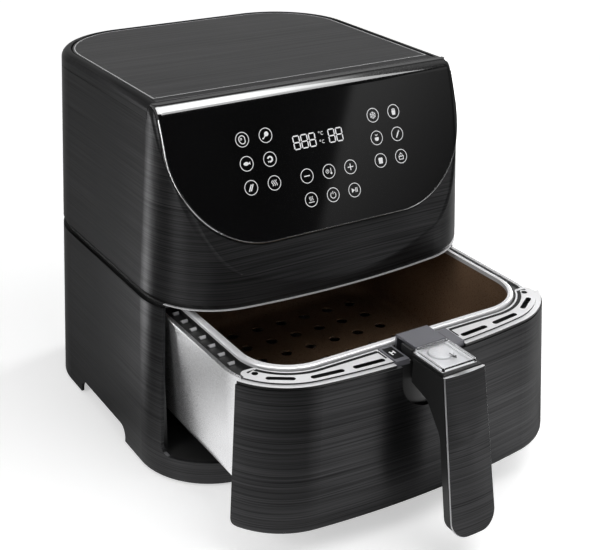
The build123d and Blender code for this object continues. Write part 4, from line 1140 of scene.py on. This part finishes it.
def softbox(name, place, aim, width, height, power):
    """Rectangular lamp at a place, turned to a point."""
    lamp = bpy.data.lights.new(name, "AREA")
    lamp.shape = "RECTANGLE"
    lamp.size = width
    lamp.size_y = height
    lamp.energy = power
    holder = bpy.data.objects.new(name, lamp)
    holder.location = place
    holder.rotation_mode = "QUATERNION"
    holder.rotation_quaternion = (Vector(aim) - Vector(place)).to_track_quat("-Z", "Y")
    holder.visible_camera = False
    bpy.context.scene.collection.objects.link(holder)


class AIRFRYER_OT_stage(bpy.types.Operator):
    """Set up the camera, the white floor and the studio lights"""

    bl_idname = "airfryer.stage"
    bl_label = "Stage"

    def execute(self, context):
        stage = context.scene.airfryer_stage
        self.set_camera(context.scene, stage)
        self.set_floor(context.scene)
        self.set_world(context.scene, stage)
        softbox("overhead", *OVERHEAD, stage.key_power)
        softbox("left_box", *LEFT_BOX, LEFT_SHARE * stage.side_power)
        softbox("right_strip", *RIGHT_STRIP, stage.side_power)
        context.scene.view_settings.view_transform = "Standard"
        return {"FINISHED"}

    def set_camera(self, scene, stage):
        turn, rise, roll = stage.azimuth, stage.elevation, stage.roll
        back = Vector((math.sin(turn) * math.cos(rise), -math.cos(turn) * math.cos(rise), math.sin(rise)))
        right = Vector((math.cos(turn), math.sin(turn), 0))
        up = back.cross(right)
        across = math.cos(roll) * right + math.sin(roll) * up
        upward = math.cos(roll) * up - math.sin(roll) * right
        place = Matrix((across, upward, back)).transposed().to_4x4()
        place.translation = Vector(stage.target) + back * stage.distance
        lens = bpy.data.cameras.new("camera")
        lens.sensor_width = 36.0
        lens.sensor_fit = "HORIZONTAL"
        lens.lens = stage.lens
        lens.clip_start = 0.01
        camera = bpy.data.objects.new("camera", lens)
        camera.matrix_world = place
        scene.collection.objects.link(camera)
        scene.camera = camera

    def set_floor(self, scene):
        mesh = bpy.data.meshes.new("floor")
        sides = ((-1, -1), (1, -1), (1, 1), (-1, 1))
        corners = [(x * FLOOR_HALF, y * FLOOR_HALF, -FLOOR_DROP) for x, y in sides]
        mesh.from_pydata(corners, [], [(0, 1, 2, 3)])
        floor = bpy.data.objects.new("floor", mesh)
        scene.collection.objects.link(floor)
        material = bpy.data.materials.new("floor_white")
        material.use_nodes = True
        tree = material.node_tree
        tree.nodes.clear()
        path = new_node(tree, "LightPath", {})
        place = place_of(tree)
        matt = new_node(tree, "BsdfDiffuse", {"Color": FLOOR_GREY})["BSDF"]
        fill = ranged(tree, vector_math(tree, "LENGTH", place)["Value"], *FLOOR_GLOW)
        strength = multiplied(tree, path["Is Camera Ray"], fill)
        glow = new_node(tree, "Emission", {"Strength": strength})["Emission"]
        both = new_node(tree, "AddShader", {0: matt, 1: glow})["Shader"]
        x, y, _ = axes(tree, place)
        level = ranged(tree, y, *FLOOR_LEVEL)
        for card in FLOOR_CARDS:
            level = added(tree, level, self.floor_card(tree, x, y, *card))
        level = added(tree, level, self.floor_beam(tree, place))
        mirrored = new_node(tree, "Emission", {"Strength": level})["Emission"]
        choice = new_node(tree, "MixShader", {"Fac": path["Is Glossy Ray"], 1: both, 2: mirrored})["Shader"]
        new_node(tree, "OutputMaterial", {"Surface": choice})
        mesh.materials.append(material)

    def floor_card(self, tree, x, y, left, right, front, back, strength):
        """Soft-edged card on the floor that only reflections show."""
        level = None
        for value, edge, turn in ((x, left, 1), (x, right, -1), (y, front, 1), (y, back, -1)):
            inside = ranged(tree, value, edge - turn * CARD_SOFT, edge + turn * CARD_SOFT)
            level = inside if level is None else multiplied(tree, level, inside)
        return ranged(tree, level, 0, 1, 0, strength)

    def floor_beam(self, tree, place):
        """Beam on the floor between two directions from its foot, with soft edges."""
        offset = vector_math(tree, "SUBTRACT", place, BEAM_FOOT)["Vector"]
        far = vector_math(tree, "LENGTH", offset)["Value"]
        x, y, _ = axes(tree, offset)
        turn = combined(tree, "ARCTAN2", y, x)
        first, full, last, end = [math.radians(a) for a in BEAM_TURNS]
        near_edge = ranged(tree, turn, first, full)
        far_edge = ranged(tree, turn, last, end, 1, 0)
        begun = ranged(tree, far, BEAM_START - BEAM_SOFT, BEAM_START + BEAM_SOFT, 0, BEAM_STRENGTH)
        return multiplied(tree, begun, multiplied(tree, near_edge, far_edge))

    def set_world(self, scene, stage):
        world = bpy.data.worlds.new("studio")
        scene.world = world
        world.use_nodes = True
        tree = world.node_tree
        path = new_node(tree, "LightPath", {})
        direction = place_of(tree, "Generated")
        x, y, z = axes(tree, direction)
        level = ranged(tree, y, *SKY_LEVEL)
        level = added(tree, level, self.crown_light(tree, x, y, z))
        level = added(tree, level, self.front_card(tree, direction, y, z))
        even = (stage.ambient, stage.ambient, stage.ambient, 1)
        glossy = blended(tree, path["Is Glossy Ray"], even, level)
        seen = combined(tree, "MAXIMUM", path["Is Camera Ray"], path["Is Transmission Ray"])
        shown = blended(tree, seen, glossy, (1, 1, 1, 1))
        tree.links.new(shown, tree.nodes["Background"].inputs["Color"])

    def crown_light(self, tree, x, y, z):
        """Bright patch overhead that only reflections show, fading to the right."""
        high = ranged(tree, z, *CROWN_HIGH)
        near = ranged(tree, y, *CROWN_NEAR)
        left = ranged(tree, x, *CROWN_LEFT)
        return multiplied(tree, multiplied(tree, high, near), left)

    def front_card(self, tree, direction, y, z):
        """Dim card in front on the right with a sharp edge, that only reflections show."""
        side = vector_math(tree, "DOT_PRODUCT", direction, CARD_SIDE)["Value"]
        edge = ranged(tree, side, *CARD_EDGE)
        fade = ranged(tree, side, *CARD_FADE)
        low = ranged(tree, z, *CARD_LOW)
        front = ranged(tree, y, *CARD_FRONT)
        return multiplied(tree, multiplied(tree, edge, fade), multiplied(tree, low, front))


class AIRFRYER_PT_looks(bpy.types.Panel):
    """Buttons that build the looks, and their settings"""

    bl_idname = "AIRFRYER_PT_looks"
    bl_label = "Air fryer"
    bl_space_type = "VIEW_3D"
    bl_region_type = "UI"
    bl_category = "Air fryer"

    def draw(self, context):
        column = self.layout.column()
        for operator in OPERATORS:
            column.operator(operator.bl_idname)
        for group, _ in SETTINGS:
            settings = getattr(context.scene, group)
            box = self.layout.box()
            for name in settings.__annotations__:
                box.prop(settings, name)


OPERATORS = (
    AIRFRYER_OT_casing,
    AIRFRYER_OT_drawer,
    AIRFRYER_OT_works,
    AIRFRYER_OT_panel_marks,
    AIRFRYER_OT_top_lines,
    AIRFRYER_OT_fascia_bead,
    AIRFRYER_OT_handle_marks,
    AIRFRYER_OT_trim_lines,
    AIRFRYER_OT_spring_coil,
    AIRFRYER_OT_screw_recesses,
    AIRFRYER_OT_stage,
)
SETTINGS = (
    ("airfryer_finish", FinishSettings),
    ("airfryer_panel", PanelSettings),
    ("airfryer_spring", SpringSettings),
    ("airfryer_stage", StageSettings),
)


def register():
    for name, settings in SETTINGS:
        bpy.utils.register_class(settings)
        setattr(bpy.types.Scene, name, bpy.props.PointerProperty(type=settings))
    for operator in OPERATORS:
        bpy.utils.register_class(operator)
    bpy.utils.register_class(AIRFRYER_PT_looks)


def unregister():
    bpy.utils.unregister_class(AIRFRYER_PT_looks)
    for operator in reversed(OPERATORS):
        bpy.utils.unregister_class(operator)
    for name, settings in reversed(SETTINGS):
        delattr(bpy.types.Scene, name)
        bpy.utils.unregister_class(settings)


def main():
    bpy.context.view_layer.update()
    register()
    bpy.ops.airfryer.casing()
    bpy.ops.airfryer.drawer()
    bpy.ops.airfryer.works()
    bpy.ops.airfryer.panel_marks()
    bpy.ops.airfryer.top_lines()
    bpy.ops.airfryer.fascia_bead()
    bpy.ops.airfryer.handle_marks()
    bpy.ops.airfryer.trim_lines()
    bpy.ops.airfryer.spring_coil()
    bpy.ops.airfryer.screw_recesses()
    bpy.ops.airfryer.stage()


if __name__ == "__main__":
    main()
